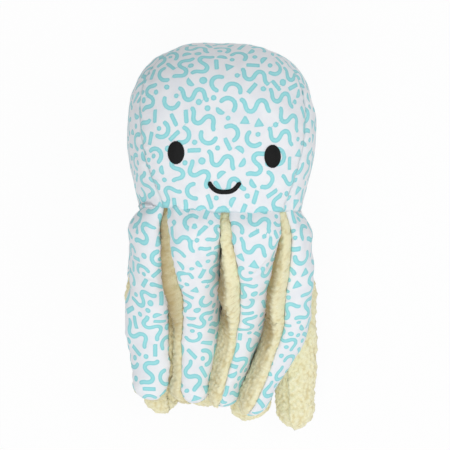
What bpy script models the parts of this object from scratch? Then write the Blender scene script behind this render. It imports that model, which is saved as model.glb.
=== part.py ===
"""Plush octopus dog toy, lying on its back.

Metres. +Z is the way the face looks, +Y runs to the crown and +X is on the right seen from the front.
The head is four print panels over a stuffed body. Eight arms leave the neck side by side and
come to rest in two layers of four, each arm with a print panel outside and fleece inside.
"""

import functools
import math
from dataclasses import dataclass

import bmesh
import bpy
from mathutils import Vector

# Driving dimensions of the head
HEAD_WIDTH = 0.141
HEAD_HEIGHT = 0.123
HEAD_DEPTH = 0.134
HEAD_SQUARENESS = 2.8
DOME_SHARE = 0.56
DOME_SQUARENESS = 2.65
CHIN_CURVE = 1.8
REST_SINK = 0.003
CROWN_HOLE_RADIUS = 0.0015
FRONT_SEAM_DEGREES = 46
SEAM_LEAN_DEGREES = 15

# Driving dimensions of the arms
ARM_WIDTH = 0.035
ARM_THICKNESS = 0.029
ARM_REACH = 0.155
ROOT_THICKNESS = 0.019
ARM_COUNT = 8
PRINT_HALF_SPAN = math.radians(82)

# How an arm changes along its length, as shares of the length or of the size at hand
SWELL_SHARE = 0.11
ROOT_WEDGE_RATIO = 0.16
WEDGE_END_SHARE = 0.35
SPREAD_RATIO = 0.11
SPREAD_END_SHARE = 0.5
SPREAD_RUN_SHARE = 0.4
SLIM_START_SHARE = 0.6
SLIM_RUN_SHARE = 0.36
SLIM_WIDTH_RATIO = 0.17
TIP_LENGTH_RATIO = 0.4
TIP_OPENING_RATIO = 0.2
REST_LIMIT_SHARE = 0.9
FALL_START_SHARE = 0.04
SWAY_START_SHARE = 0.5
SWAY_POWER = 1.25
WAIST_SHARE = 0.38
WAIST_RUN_SHARE = 0.1
DIRECTION_STEP_SHARE = 0.01

# Cloth and clearances
PRINT_CLOTH = 0.0016
FLEECE_CLOTH = 0.004
SEAM_GAP = 0.0009
FLEECE_SEAM_GAP = 0.0022
FIT_GAP = 0.0004
FILLING_GAP = 0.0008
SEAM_ALLOWANCE = 0.0006
TIP_ALLOWANCE = 0.001
ROOT_GAP = 0.0035
LANE_GAP = 0.0013
LAYER_GAP = 0.0008

# Face
FACE_SHIFT = 0.0025
EYE_WIDTH = 0.0118
EYE_HEIGHT = 0.0163
EYE_SPACING = 0.0697
EYE_ABOVE_NECK = 0.0382
EYE_TILT = 0.0026
MOUTH_WIDTH = 0.0217
MOUTH_DROP = 0.0056
MOUTH_STROKE = 0.0032
MOUTH_ABOVE_NECK = 0.0122
MOUTH_CURVE = 2.6
STITCH_THICKNESS = 0.0011

EYE_CENTRE_RATIO = 0.25
MOUTH_END_RATIO = 0.1

# Squeaker and its pocket
SQUEAKER_RADIUS = 0.024
SQUEAKER_THICKNESS = 0.019
SQUEAKER_ABOVE_NECK = 0.042
NOZZLE_RADIUS = 0.006
NOZZLE_LENGTH = 0.004
SQUEAKER_ROUNDNESS = 0.7

# Fineness of the meshes
PANEL_COLUMNS = 8
CHIN_ROWS = 5
DOME_ROWS = 7
BODY_ROWS = 12
TIP_ROWS = 4
ARM_COLUMNS = 6
EYE_RINGS = 4
EYE_SPOKES = 20
MOUTH_STATIONS = 14
SQUEAKER_RINGS = 9
SQUEAKER_SIDES = 24
NECK_OUTLINE_STEPS = 720

# Worked out from the driving dimensions
RING_PERIMETER = ARM_COUNT * (ARM_WIDTH + ROOT_GAP)
RING_ROUNDNESS = 1.05 * 2 * math.pi
RING_OVALNESS = 1.075
RING_MEAN = RING_PERIMETER / RING_ROUNDNESS
RING_HALF_WIDTH = RING_MEAN * RING_OVALNESS
RING_HALF_DEPTH = RING_MEAN / RING_OVALNESS
NECK_HALF_WIDTH = RING_HALF_WIDTH + ROOT_THICKNESS / 2
NECK_HALF_DEPTH = RING_HALF_DEPTH + ROOT_THICKNESS / 2
AXIS_Z = HEAD_DEPTH / 2 - REST_SINK
TOTAL_LENGTH = 0.2922
NECK_Y = TOTAL_LENGTH / 2 - HEAD_HEIGHT
LANE_PITCH = max(ARM_WIDTH, ARM_THICKNESS) + LANE_GAP
UPPER_LAYER_Z = ARM_THICKNESS + LAYER_GAP
TIP_START = 1 - TIP_LENGTH_RATIO * ARM_WIDTH / ARM_REACH


@dataclass(frozen=True)
class Arm:
    """One arm: its place on the neck ring and its way down the pile, seen from the front."""

    name: str
    ring_place: float
    lane: float
    layer: int
    reach: float
    tip_sway: float
    settle: float
    turned: float
    rest_facing: float
    tip_facing: float
    bulge: float
    waist: float
    flatness: float


# Ring place counts arms from the front centre, clockwise from the front. Facing is the angle
# of the print side from +Z towards +X, in degrees. Sway and waist are shares of the arm's width,
# and flatness is how much of its thickness the arm loses towards the tip.
ARMS = (
    Arm("arm_1", -1.43, -1.51, 1, 0.93, 0.08, 0.68, 0.60, -16, -4, 0.006, 0.14, 0.12),
    Arm("arm_2", -0.42, -0.42, 1, 0.945, -0.26, 0.66, 0.44, 38, 48, 0.004, 0.05, 0.08),
    Arm("arm_3", 0.57, 0.55, 1, 0.96, -0.63, 0.62, 0.46, 60, 86, 0.0035, 0, 0.24),
    Arm("arm_4", 1.6, 1.49, 1, 1.0, -0.99, 0.66, 0.62, 78, 92, 0.0045, 0, 0.27),
    Arm("arm_5", 2.58, 1.52, 0, 1.085, 0.06, 0.44, 0.44, 160, 166, 0.003, 0, 0.14),
    Arm("arm_6", 3.58, 0.5, 0, 1.04, 0.16, 0.36, 0.36, 178, 184, 0.004, 0, 0.14),
    Arm("arm_7", -3.42, -0.5, 0, 0.97, 0.26, 0.36, 0.36, 182, 178, 0.004, 0, 0.14),
    Arm("arm_8", -2.42, -1.52, 0, 1.0, 0.38, 0.44, 0.44, 200, 190, 0.005, 0, 0.14),
)


def smooth(value):
    """A blend from 0 to 1 with level ends."""
    value = min(1.0, max(0.0, value))
    return value * value * (3 - 2 * value)


def superellipse(angle, half_width, half_depth, squareness):
    """The point of a rounded rectangle at an angle from +Z towards +X."""
    side, front = math.sin(angle), math.cos(angle)
    radius = (
        abs(side / half_width) ** squareness + abs(front / half_depth) ** squareness
    ) ** (-1 / squareness)
    return side * radius, front * radius


def make_material(name, colour, roughness):
    material = bpy.data.materials.new(name)
    material.use_nodes = True
    shader = material.node_tree.nodes["Principled BSDF"]
    shader.inputs["Base Color"].default_value = (*colour, 1)
    shader.inputs["Roughness"].default_value = roughness
    shader.inputs["Metallic"].default_value = 0
    return material


def make_object(name, mesh, material, collection):
    mesh.materials.append(material)
    mesh.shade_smooth()
    made = bpy.data.objects.new(name, mesh)
    collection.objects.link(made)
    return made


def loft(name, rows, closed):
    """An open mesh through rows of points, each row running the same way round."""
    surface = bmesh.new()
    grid = [[surface.verts.new(point) for point in row] for row in rows]
    count = len(rows[0])
    spans = count if closed else count - 1
    for lower, upper in zip(grid, grid[1:]):
        for i in range(spans):
            j = (i + 1) % count
            surface.faces.new((lower[i], lower[j], upper[j], upper[i]))
    bmesh.ops.triangulate(surface, faces=surface.faces[:])
    surface.normal_update()
    mesh = bpy.data.meshes.new(name)
    surface.to_mesh(mesh)
    surface.free()
    return mesh


def thicken(made, thickness, offset):
    """Turns an open surface into cloth of this thickness. Offset -1 is inwards and 1 outwards."""
    solidify = made.modifiers.new("Cloth", "SOLIDIFY")
    solidify.thickness = thickness
    solidify.offset = offset


def filling_mesh(name, rows, depths):
    """A closed body under a skin of closed rows, each point in from the skin by its own depth."""
    mesh = loft(name, rows, True)
    surface = bmesh.new()
    surface.from_mesh(mesh)
    surface.normal_update()
    moved = [vert.co - vert.normal * depth for vert, depth in zip(surface.verts, depths)]
    for vert, place in zip(surface.verts, moved):
        vert.co = place
    bmesh.ops.holes_fill(surface, edges=[edge for edge in surface.edges if edge.is_boundary])
    bmesh.ops.triangulate(surface, faces=surface.faces[:])
    bmesh.ops.recalc_face_normals(surface, faces=surface.faces[:])
    if surface.calc_volume(signed=True) < 0:
        bmesh.ops.reverse_faces(surface, faces=surface.faces[:])
    surface.to_mesh(mesh)
    surface.free()
    return mesh


# Head

def head_halves(share):
    """Half the head's width and depth at this share of its height above the neck."""
    dome_start = 1 - DOME_SHARE
    if share > dome_start:
        up = min(1.0, (share - dome_start) / DOME_SHARE)
        scale = (1 - up**DOME_SQUARENESS) ** (1 / DOME_SQUARENESS)
        return HEAD_WIDTH / 2 * scale, HEAD_DEPTH / 2 * scale
    down = ((dome_start - share) / dome_start) ** CHIN_CURVE
    width = HEAD_WIDTH / 2 + (NECK_HALF_WIDTH - HEAD_WIDTH / 2) * down
    depth = HEAD_DEPTH / 2 + (NECK_HALF_DEPTH - HEAD_DEPTH / 2) * down
    return width, depth


def head_shares():
    """The heights of the head's rows, closer together where the dome turns over."""
    dome_start = 1 - DOME_SHARE
    shares = [dome_start * i / CHIN_ROWS for i in range(CHIN_ROWS)]
    for i in range(DOME_ROWS):
        turn = math.sin(math.pi / 2 * i / DOME_ROWS)
        shares.append(dome_start + DOME_SHARE * turn ** (2 / DOME_SQUARENESS))
    rim = CROWN_HOLE_RADIUS / (HEAD_WIDTH / 2)
    top = (1 - rim**DOME_SQUARENESS) ** (1 / DOME_SQUARENESS)
    shares.append(dome_start + DOME_SHARE * top)
    return shares


def head_point(share, angle):
    """A point of the head's skin, pressed flat where it rests on its back."""
    width, depth = head_halves(share)
    x, z = superellipse(angle, width, depth, HEAD_SQUARENESS)
    return Vector((x, NECK_Y + HEAD_HEIGHT * share, max(0.0, AXIS_Z + z)))


def seam_angle(share):
    """The angle from the front to the front panel's right seam."""
    return math.radians(FRONT_SEAM_DEGREES + SEAM_LEAN_DEGREES * share)


def seams(share):
    """The four seams as angles, from the front panel's left one round to the same one again."""
    front = seam_angle(share)
    turn = FACE_SHIFT / (HEAD_WIDTH / 2)
    angles = (-front, front, math.pi - front, math.pi + front, 2 * math.pi - front)
    return [angle + turn for angle in angles]


PANEL_NAMES = (
    "head_front_panel",
    "head_right_panel",
    "head_back_panel",
    "head_left_panel",
)


def head_panel(index, material, collection):
    rows = []
    for share in head_shares():
        start, end = seams(share)[index : index + 2]
        inset = SEAM_GAP / 2 / max(*head_halves(share), CROWN_HOLE_RADIUS)
        start, end = start + inset, end - inset
        angles = [start + (end - start) * i / PANEL_COLUMNS for i in range(PANEL_COLUMNS + 1)]
        rows.append([head_point(share, angle) for angle in angles])
    name = PANEL_NAMES[index]
    panel = make_object(name, loft(name, rows, False), material, collection)
    thicken(panel, PRINT_CLOTH, -1)


def filling_rows():
    """The head's skin as closed rows."""
    rows = []
    for share in head_shares():
        edges = seams(share)
        angles = []
        for start, end in zip(edges, edges[1:]):
            angles += [start + (end - start) * i / PANEL_COLUMNS for i in range(PANEL_COLUMNS)]
        rows.append([head_point(share, angle) for angle in angles])
    return rows


def head_filling(material, collection, cutters):
    """The stuffing, with a pocket that is open at the neck and holds the squeaker."""
    depth = PRINT_CLOTH + 2 * FIT_GAP
    rows = filling_rows()
    mesh = filling_mesh("head_filling", rows, [depth] * (len(rows) * len(rows[0])))
    for vert in mesh.vertices:
        vert.co.y = max(vert.co.y, NECK_Y + depth)
    filling = make_object("head_filling", mesh, material, collection)
    half_x = SQUEAKER_RADIUS + FIT_GAP
    half_y = SQUEAKER_ABOVE_NECK + SQUEAKER_RADIUS + FIT_GAP
    half_z = (SQUEAKER_THICKNESS + NOZZLE_LENGTH) / 2 + FIT_GAP
    cutter = box("squeaker_pocket_cutter", half_x, half_y, half_z, cutters)
    cutter.location = (0, NECK_Y, AXIS_Z + NOZZLE_LENGTH / 2)
    cut = filling.modifiers.new("Pocket", "BOOLEAN")
    cut.operation = "DIFFERENCE"
    cut.object = cutter


def box(name, half_x, half_y, half_z, collection):
    cube = bmesh.new()
    bmesh.ops.create_cube(cube, size=2)
    bmesh.ops.scale(cube, vec=(half_x, half_y, half_z), verts=cube.verts)
    mesh = bpy.data.meshes.new(name)
    cube.to_mesh(mesh)
    cube.free()
    made = bpy.data.objects.new(name, mesh)
    made.hide_render = True
    made.display_type = "WIRE"
    collection.objects.link(made)
    return made


def head_base_panel(material, collection):
    """The cloth that closes the head under the stuffing."""
    inset = PRINT_CLOTH + 2 * FIT_GAP
    points = []
    for i in range(4 * PANEL_COLUMNS):
        angle = 2 * math.pi * i / (4 * PANEL_COLUMNS)
        half_width, half_depth = NECK_HALF_WIDTH - inset, NECK_HALF_DEPTH - inset
        x, z = superellipse(angle, half_width, half_depth, HEAD_SQUARENESS)
        points.append(Vector((x, NECK_Y, AXIS_Z + z)))
    disc = bmesh.new()
    disc.faces.new([disc.verts.new(point) for point in points])
    disc.normal_update()
    mesh = bpy.data.meshes.new("head_base_panel")
    disc.to_mesh(mesh)
    disc.free()
    panel = make_object("head_base_panel", mesh, material, collection)
    inwards = 1 if mesh.polygons[0].normal.y > 0 else -1
    thicken(panel, PRINT_CLOTH, inwards)


def squeaker(material, collection):
    """A round plastic bladder with a short reed nozzle, turned about Z."""
    edge = SQUEAKER_THICKNESS / 2
    profile = [(0, edge + NOZZLE_LENGTH), (NOZZLE_RADIUS, edge + NOZZLE_LENGTH), (NOZZLE_RADIUS, edge)]
    for i in range(1, SQUEAKER_RINGS):
        turn = math.pi * i / SQUEAKER_RINGS
        bulge = math.sin(turn) ** SQUEAKER_ROUNDNESS
        neck = NOZZLE_RADIUS * (1 - i / SQUEAKER_RINGS)
        radius = neck + (SQUEAKER_RADIUS - NOZZLE_RADIUS) * bulge
        profile.append((min(radius, SQUEAKER_RADIUS), edge * math.cos(turn)))
    profile.append((0, -edge))
    line = bmesh.new()
    verts = [line.verts.new((x, 0, z)) for x, z in profile]
    for first, second in zip(verts, verts[1:]):
        line.edges.new((first, second))
    mesh = bpy.data.meshes.new("squeaker")
    line.to_mesh(mesh)
    line.free()
    made = make_object("squeaker", mesh, material, collection)
    made.location = (0, NECK_Y + SQUEAKER_ABOVE_NECK, AXIS_Z)
    screw = made.modifiers.new("Turn", "SCREW")
    screw.steps = SQUEAKER_SIDES
    screw.render_steps = SQUEAKER_SIDES
    screw.use_merge_vertices = True
    screw.merge_threshold = 1e-5


# Face

def on_front(x, above_neck):
    """The point just off the head's front at this place seen from the front."""
    width, depth = head_halves(above_neck / HEAD_HEIGHT)
    z = depth * (1 - abs(x / width) ** HEAD_SQUARENESS) ** (1 / HEAD_SQUARENESS)
    return Vector((x, NECK_Y + above_neck, AXIS_Z + z + FIT_GAP))


def eye(name, side, material, collection):
    """An oval patch of satin stitch that follows the head's surface."""
    centre_x = FACE_SHIFT + side * EYE_SPACING / 2
    centre_y = EYE_ABOVE_NECK - side * EYE_TILT / 2
    rows = []
    for ring in range(EYE_RINGS):
        size = (ring + EYE_CENTRE_RATIO) / (EYE_RINGS - 1 + EYE_CENTRE_RATIO)
        row = []
        for i in range(EYE_SPOKES):
            angle = 2 * math.pi * i / EYE_SPOKES
            x = centre_x + EYE_WIDTH / 2 * size * math.sin(angle)
            y = centre_y + EYE_HEIGHT / 2 * size * math.cos(angle)
            row.append(on_front(x, y))
        rows.append(row)
    mesh = loft(name, rows, True)
    surface = bmesh.new()
    surface.from_mesh(mesh)
    surface.verts.ensure_lookup_table()
    surface.faces.new([surface.verts[i] for i in range(EYE_SPOKES)])
    bmesh.ops.recalc_face_normals(surface, faces=surface.faces[:])
    surface.normal_update()
    if sum(face.normal.z for face in surface.faces) < 0:
        bmesh.ops.reverse_faces(surface, faces=surface.faces[:])
    surface.to_mesh(mesh)
    surface.free()
    thicken(make_object(name, mesh, material, collection), STITCH_THICKNESS, 1)


def mouth(material, collection):
    """A smile in satin stitch: a strip of even width with rounded ends."""
    half = MOUTH_WIDTH / 2
    end = MOUTH_STROKE / 2 / math.hypot(half, MOUTH_CURVE * MOUTH_DROP)
    rows = []
    for i in range(MOUTH_STATIONS + 1):
        share = (2 * i / MOUTH_STATIONS - 1) * (1 + end)
        past = max(0.0, (abs(share) - 1) / end)
        stroke = MOUTH_STROKE / 2 * math.sqrt(max(MOUTH_END_RATIO, 1 - past**2))
        rise = MOUTH_CURVE * MOUTH_DROP * abs(share) ** (MOUTH_CURVE - 1) / half
        slope = math.copysign(math.atan(rise), share)
        row = []
        for across in (1, 0, -1):
            x = FACE_SHIFT + half * share + across * stroke * math.sin(slope)
            y = MOUTH_ABOVE_NECK + MOUTH_DROP * abs(share) ** MOUTH_CURVE
            row.append(on_front(x, y - across * stroke * math.cos(slope)))
        rows.append(row)
    made = make_object("mouth", loft("mouth", rows, False), material, collection)
    outwards = 1 if made.data.polygons[0].normal.z > 0 else -1
    thicken(made, STITCH_THICKNESS, outwards)


# Arms

def ring_angle(place):
    """The angle of a place on the neck's outline, counted in arms from the front centre."""
    turn = 2 * math.pi / NECK_OUTLINE_STEPS
    angles = [turn * i for i in range(NECK_OUTLINE_STEPS + 1)]
    outline = [
        superellipse(angle, NECK_HALF_WIDTH, NECK_HALF_DEPTH, HEAD_SQUARENESS) for angle in angles
    ]
    lengths = [math.dist(a, b) for a, b in zip(outline, outline[1:])]
    target = sum(lengths) * ((place / ARM_COUNT) % 1)
    walked = 0.0
    for angle, length in zip(angles, lengths):
        walked += length
        if walked > target:
            return angle
    return angles[-1]


@functools.cache
def root_place(arm):
    """The middle of the arm's root and the way it faces out of the neck, in degrees."""
    angle = ring_angle(arm.ring_place)
    x, z = superellipse(angle, NECK_HALF_WIDTH, NECK_HALF_DEPTH, HEAD_SQUARENESS)
    power = HEAD_SQUARENESS - 1
    out_x = math.copysign(abs(x / NECK_HALF_WIDTH) ** power / NECK_HALF_WIDTH, x)
    out_z = math.copysign(abs(z / NECK_HALF_DEPTH) ** power / NECK_HALF_DEPTH, z)
    facing = math.atan2(out_x, out_z)
    x -= math.sin(facing) * ROOT_THICKNESS / 2
    z -= math.cos(facing) * ROOT_THICKNESS / 2
    facing = math.degrees(facing)
    while facing < arm.rest_facing - 180:
        facing += 360
    return x, z, facing


def arm_sizes(arm, share):
    """Half the arm's width and thickness at this share of its length."""
    swell = smooth(share / SWELL_SHARE)
    slim = smooth((share - SLIM_START_SHARE) / SLIM_RUN_SHARE)
    spread = SPREAD_RATIO * smooth((SPREAD_END_SHARE - share) / SPREAD_RUN_SHARE)
    width = ARM_WIDTH / 2 * (1 - SLIM_WIDTH_RATIO * slim) * (1 + spread)
    thickness = (ROOT_THICKNESS + (ARM_THICKNESS - ROOT_THICKNESS) * swell) / 2
    thickness *= 1 - arm.flatness * slim
    if share > TIP_START:
        into = (share - TIP_START) / (1 - TIP_START)
        tip_round = math.sqrt(max(TIP_OPENING_RATIO**2, 1 - into**2))
        width *= tip_round
        thickness *= tip_round
    return width, thickness


def facing_at(arm, share):
    """The print side's angle at this share of the arm's length."""
    root_facing = root_place(arm)[2]
    facing = root_facing + (arm.rest_facing - root_facing) * smooth(share / arm.turned)
    facing += (arm.tip_facing - arm.rest_facing) * smooth((share - arm.settle) / (1 - arm.settle))
    return math.radians(facing)


def arm_centre(arm, share):
    """The arm's centreline, from the neck ring down to its lane and layer of the pile."""
    root_x, root_z, facing = root_place(arm)
    facing = math.radians(facing)
    bulge = arm.bulge * smooth(share / SWELL_SHARE)
    root_x += bulge * math.sin(facing)
    root_z += AXIS_Z + bulge * math.cos(facing)
    width, thickness = arm_sizes(arm, min(share, REST_LIMIT_SHARE))
    angle = facing_at(arm, share)
    half_height = math.hypot(width * math.sin(angle), thickness * math.cos(angle))
    rest_z = arm.layer * UPPER_LAYER_Z + half_height
    swayed = max(0.0, (share - SWAY_START_SHARE) / (1 - SWAY_START_SHARE)) ** SWAY_POWER
    waisted = math.exp(-(((share - WAIST_SHARE) / WAIST_RUN_SHARE) ** 2))
    rest_x = arm.lane * LANE_PITCH + (arm.tip_sway * swayed + arm.waist * waisted) * ARM_WIDTH
    fall = smooth((share - FALL_START_SHARE) / arm.settle)
    y = NECK_Y - 3 * FIT_GAP - share * arm.reach * ARM_REACH
    return Vector((root_x + (rest_x - root_x) * fall, y, root_z + (rest_z - root_z) * fall))


def arm_shares():
    """Where the arm's rows lie, closer together round the tip."""
    shares = [TIP_START * i / BODY_ROWS for i in range(BODY_ROWS + 1)]
    last_turn = math.acos(TIP_OPENING_RATIO)
    for i in range(1, TIP_ROWS + 1):
        turn = last_turn * i / TIP_ROWS
        shares.append(TIP_START + (1 - TIP_START) * math.sin(turn))
    return shares


def arm_point(arm, share, angle):
    """A point of the arm's skin, at an angle round it from the middle of the print side."""
    before = arm_centre(arm, max(0.0, share - DIRECTION_STEP_SHARE))
    after = arm_centre(arm, min(1.0, share + DIRECTION_STEP_SHARE))
    along = (after - before).normalized()
    if share < DIRECTION_STEP_SHARE:
        along = Vector((0, -1, 0))
    facing = facing_at(arm, share)
    outward = Vector((math.sin(facing), 0, math.cos(facing)))
    outward = (outward - along * outward.dot(along)).normalized()
    across = along.cross(outward)
    width, thickness = arm_sizes(arm, share)
    wedge = 1 + ROOT_WEDGE_RATIO * math.cos(angle) * (1 - smooth(share / WEDGE_END_SHARE))
    centre = arm_centre(arm, share)
    return (
        centre
        + outward * thickness * math.cos(angle)
        + across * width * wedge * math.sin(angle)
    )


def arm_angles(print_side):
    """The angles of one cloth's columns, from seam to seam, without the seam gap."""
    if print_side:
        start, end = -PRINT_HALF_SPAN, PRINT_HALF_SPAN
    else:
        start, end = PRINT_HALF_SPAN, 2 * math.pi - PRINT_HALF_SPAN
    return [start + (end - start) * i / ARM_COLUMNS for i in range(ARM_COLUMNS + 1)]


def arm_cloth(arm, print_side, material, collection):
    rows = []
    for share in arm_shares():
        angles = arm_angles(print_side)
        inset = FLEECE_SEAM_GAP / 2 / max(arm_sizes(arm, share)[1], FLEECE_SEAM_GAP)
        angles[0] += inset
        angles[-1] -= inset
        rows.append([arm_point(arm, share, angle) for angle in angles])
    name = f"{arm.name}_{'print' if print_side else 'fleece'}_panel"
    cloth = make_object(name, loft(name, rows, False), material, collection)
    thicken(cloth, PRINT_CLOTH if print_side else FLEECE_CLOTH, -1)


def arm_filling(arm, material, collection):
    rows = []
    depths = []
    for share in arm_shares()[:-1]:
        front = arm_angles(True)
        back = arm_angles(False)
        angles = front + back[1:-1]
        rows.append([arm_point(arm, share, angle) for angle in angles])
        seam_depth = [FLEECE_CLOTH + SEAM_ALLOWANCE]
        print_depths = [PRINT_CLOTH] * (ARM_COLUMNS - 1)
        fleece_depths = [FLEECE_CLOTH] * (ARM_COLUMNS - 1)
        gap = FILLING_GAP + (TIP_ALLOWANCE if share > TIP_START else 0)
        depths += [depth + gap for depth in seam_depth + print_depths + seam_depth + fleece_depths]
    name = f"{arm.name}_filling"
    mesh = filling_mesh(name, rows, depths)
    make_object(name, mesh, material, collection)


def clear_scene():
    for old in list(bpy.data.objects):
        bpy.data.objects.remove(old, do_unlink=True)


def main():
    clear_scene()
    scene = bpy.context.scene
    parts = bpy.data.collections.new("plush_octopus")
    cutters = bpy.data.collections.new("cutters")
    scene.collection.children.link(parts)
    scene.collection.children.link(cutters)
    print_cloth = make_material("printed cotton", (0.62, 0.84, 0.87), 0.9)
    fleece = make_material("cream fleece", (0.80, 0.74, 0.50), 1.0)
    fibre = make_material("polyester fibre", (0.86, 0.86, 0.84), 1.0)
    thread = make_material("black thread", (0.012, 0.012, 0.014), 0.5)
    plastic = make_material("squeaker plastic", (0.82, 0.83, 0.80), 0.35)
    for index in range(len(PANEL_NAMES)):
        head_panel(index, print_cloth, parts)
    head_base_panel(print_cloth, parts)
    head_filling(fibre, parts, cutters)
    squeaker(plastic, parts)
    eye("eye_left", -1, thread, parts)
    eye("eye_right", 1, thread, parts)
    mouth(thread, parts)
    for arm in ARMS:
        arm_cloth(arm, True, print_cloth, parts)
        arm_cloth(arm, False, fleece, parts)
        arm_filling(arm, fibre, parts)


main()
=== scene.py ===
"""Plush octopus dog toy, lying on its back and seen from above.

The stuffed head is four printed panels with a stitched face. Eight arms leave the neck side by
side and lie in two layers of four, each with printed cotton outside and curly fleece inside.
Metres. +Z is the way the face looks, +Y runs to the crown, +X is on the right seen from the front.
"""

import logging
import math
import random
from dataclasses import dataclass, field
from enum import Enum
from functools import cached_property

import bmesh
import bpy
import numpy as np
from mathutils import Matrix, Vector
from mathutils.bvhtree import BVHTree


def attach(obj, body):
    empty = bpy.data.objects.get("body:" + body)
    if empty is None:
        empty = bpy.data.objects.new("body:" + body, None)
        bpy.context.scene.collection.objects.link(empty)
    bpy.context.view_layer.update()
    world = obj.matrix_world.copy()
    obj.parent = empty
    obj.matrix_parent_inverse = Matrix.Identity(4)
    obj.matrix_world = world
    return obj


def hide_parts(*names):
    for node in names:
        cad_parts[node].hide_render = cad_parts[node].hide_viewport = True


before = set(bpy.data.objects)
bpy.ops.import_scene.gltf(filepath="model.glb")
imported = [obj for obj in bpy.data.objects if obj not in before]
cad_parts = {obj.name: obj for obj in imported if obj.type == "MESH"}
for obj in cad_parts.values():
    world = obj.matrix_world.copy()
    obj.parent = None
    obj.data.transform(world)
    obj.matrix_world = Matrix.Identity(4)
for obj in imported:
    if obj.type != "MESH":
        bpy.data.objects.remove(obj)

LOG = logging.getLogger("plush_octopus")
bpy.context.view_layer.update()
BODY = "root"
MILLIMETRE = 0.001


def smooth(value: float | np.ndarray) -> float | np.ndarray:
    """Blend from 0 to 1 with level ends, for a number or an array."""
    value = np.clip(value, 0.0, 1.0)
    return value * value * (3 - 2 * value)


def rolled_edge(distance: np.ndarray, width: float, depth: float) -> np.ndarray:
    """How far cloth rolls inwards near a sewn edge, as a quarter round.

    Args:
        distance: Distance from the edge, in metres.
        width: Where the roll starts.
        depth: How deep the edge itself lies.

    Returns:
        The inward offset, in metres.
    """
    share = np.clip(1 - distance / width, 0.0, 1.0)
    return depth * (1 - np.sqrt(np.clip(1 - share**2, 0.0, 1.0)))


def soft_edge(distance: np.ndarray, width: float, depth: float) -> np.ndarray:
    """How far cloth sinks near a soft seam, with no hard lip.

    Args:
        distance: Distance from the seam, in metres.
        width: Where the cloth starts to sink.
        depth: How deep the seam itself lies.

    Returns:
        The inward offset, in metres.
    """
    return depth * np.clip(1 - distance / width, 0.0, 1.0) ** 2.2


def over_filling(offset: np.ndarray, room: float) -> np.ndarray:
    """Keep cloth outside the filling: inward offsets level off before they reach it.

    Args:
        offset: Outward offsets, in metres.
        room: The deepest inward offset.

    Returns:
        The offsets, unchanged where they point outwards.
    """
    return np.where(offset < 0, room * np.tanh(offset / room), offset)


def soft_bell(value: float | np.ndarray, run: float) -> float | np.ndarray:
    """Fall from 1 at zero like a bell, for a number or an array."""
    return np.exp(-((value / run) ** 2))


# Node and mesh tools


@dataclass(frozen=True)
class Value:
    """A node socket whose operators add Math nodes."""

    tree: bpy.types.NodeTree
    socket: bpy.types.NodeSocket

    def math(self, operation: str, *others: object, swap: bool = False) -> "Value":
        """Add one Math node.

        Args:
            operation: The Math node's operation.
            others: Further inputs, as numbers or values.
            swap: Whether this value is the second input.

        Returns:
            The node's output.
        """
        inputs = [self, *others]
        if swap:
            inputs.reverse()
        made = self.tree.nodes.new("ShaderNodeMath")
        made.operation = operation
        for socket, given in zip(made.inputs, inputs):
            if isinstance(given, Value):
                self.tree.links.new(given.socket, socket)
            else:
                socket.default_value = float(given)
        return Value(self.tree, made.outputs[0])

    def __add__(self, other: object) -> "Value":
        """Add."""
        return self.math("ADD", other)

    __radd__ = __add__

    def __mul__(self, other: object) -> "Value":
        """Multiply."""
        return self.math("MULTIPLY", other)

    __rmul__ = __mul__

    def __sub__(self, other: object) -> "Value":
        """Subtract."""
        return self.math("SUBTRACT", other)

    def __rsub__(self, other: object) -> "Value":
        """Subtract this from a number."""
        return self.math("SUBTRACT", other, swap=True)

    def __rtruediv__(self, other: object) -> "Value":
        """Divide a number by this."""
        return self.math("DIVIDE", other, swap=True)

    def sine(self) -> "Value":
        """Sine of the value in radians."""
        return self.math("SINE")

    def step(self, low: float, high: float) -> "Value":
        """Rise smoothly from 0 at low to 1 at high."""
        made = self.tree.nodes.new("ShaderNodeMapRange")
        made.interpolation_type = "SMOOTHSTEP"
        self.tree.links.new(self.socket, made.inputs["Value"])
        made.inputs["From Min"].default_value = low
        made.inputs["From Max"].default_value = high
        return Value(self.tree, made.outputs["Result"])


class Nodes:
    """A node tree in the making."""

    tree: bpy.types.NodeTree

    def node(self, kind: str, settings: dict | None = None, **inputs: object) -> bpy.types.Node:
        """Add a node.

        Args:
            kind: The node's type.
            settings: Its properties, which are set first.
            inputs: Values or links for its sockets, with underscores for spaces.

        Returns:
            The node.
        """
        made = self.tree.nodes.new(kind)
        for name, setting in (settings or {}).items():
            setattr(made, name, setting)
        for name, given in inputs.items():
            self.feed(made.inputs[name.replace("_", " ")], given)
        return made

    def feed(self, socket: bpy.types.NodeSocket, given: object) -> None:
        """Link a value or a socket, or set a constant."""
        if isinstance(given, Value):
            given = given.socket
        if isinstance(given, bpy.types.NodeSocket):
            self.tree.links.new(given, socket)
        else:
            socket.default_value = given

    def value(self, socket: bpy.types.NodeSocket) -> Value:
        """Wrap a socket for maths."""
        return Value(self.tree, socket)


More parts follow.
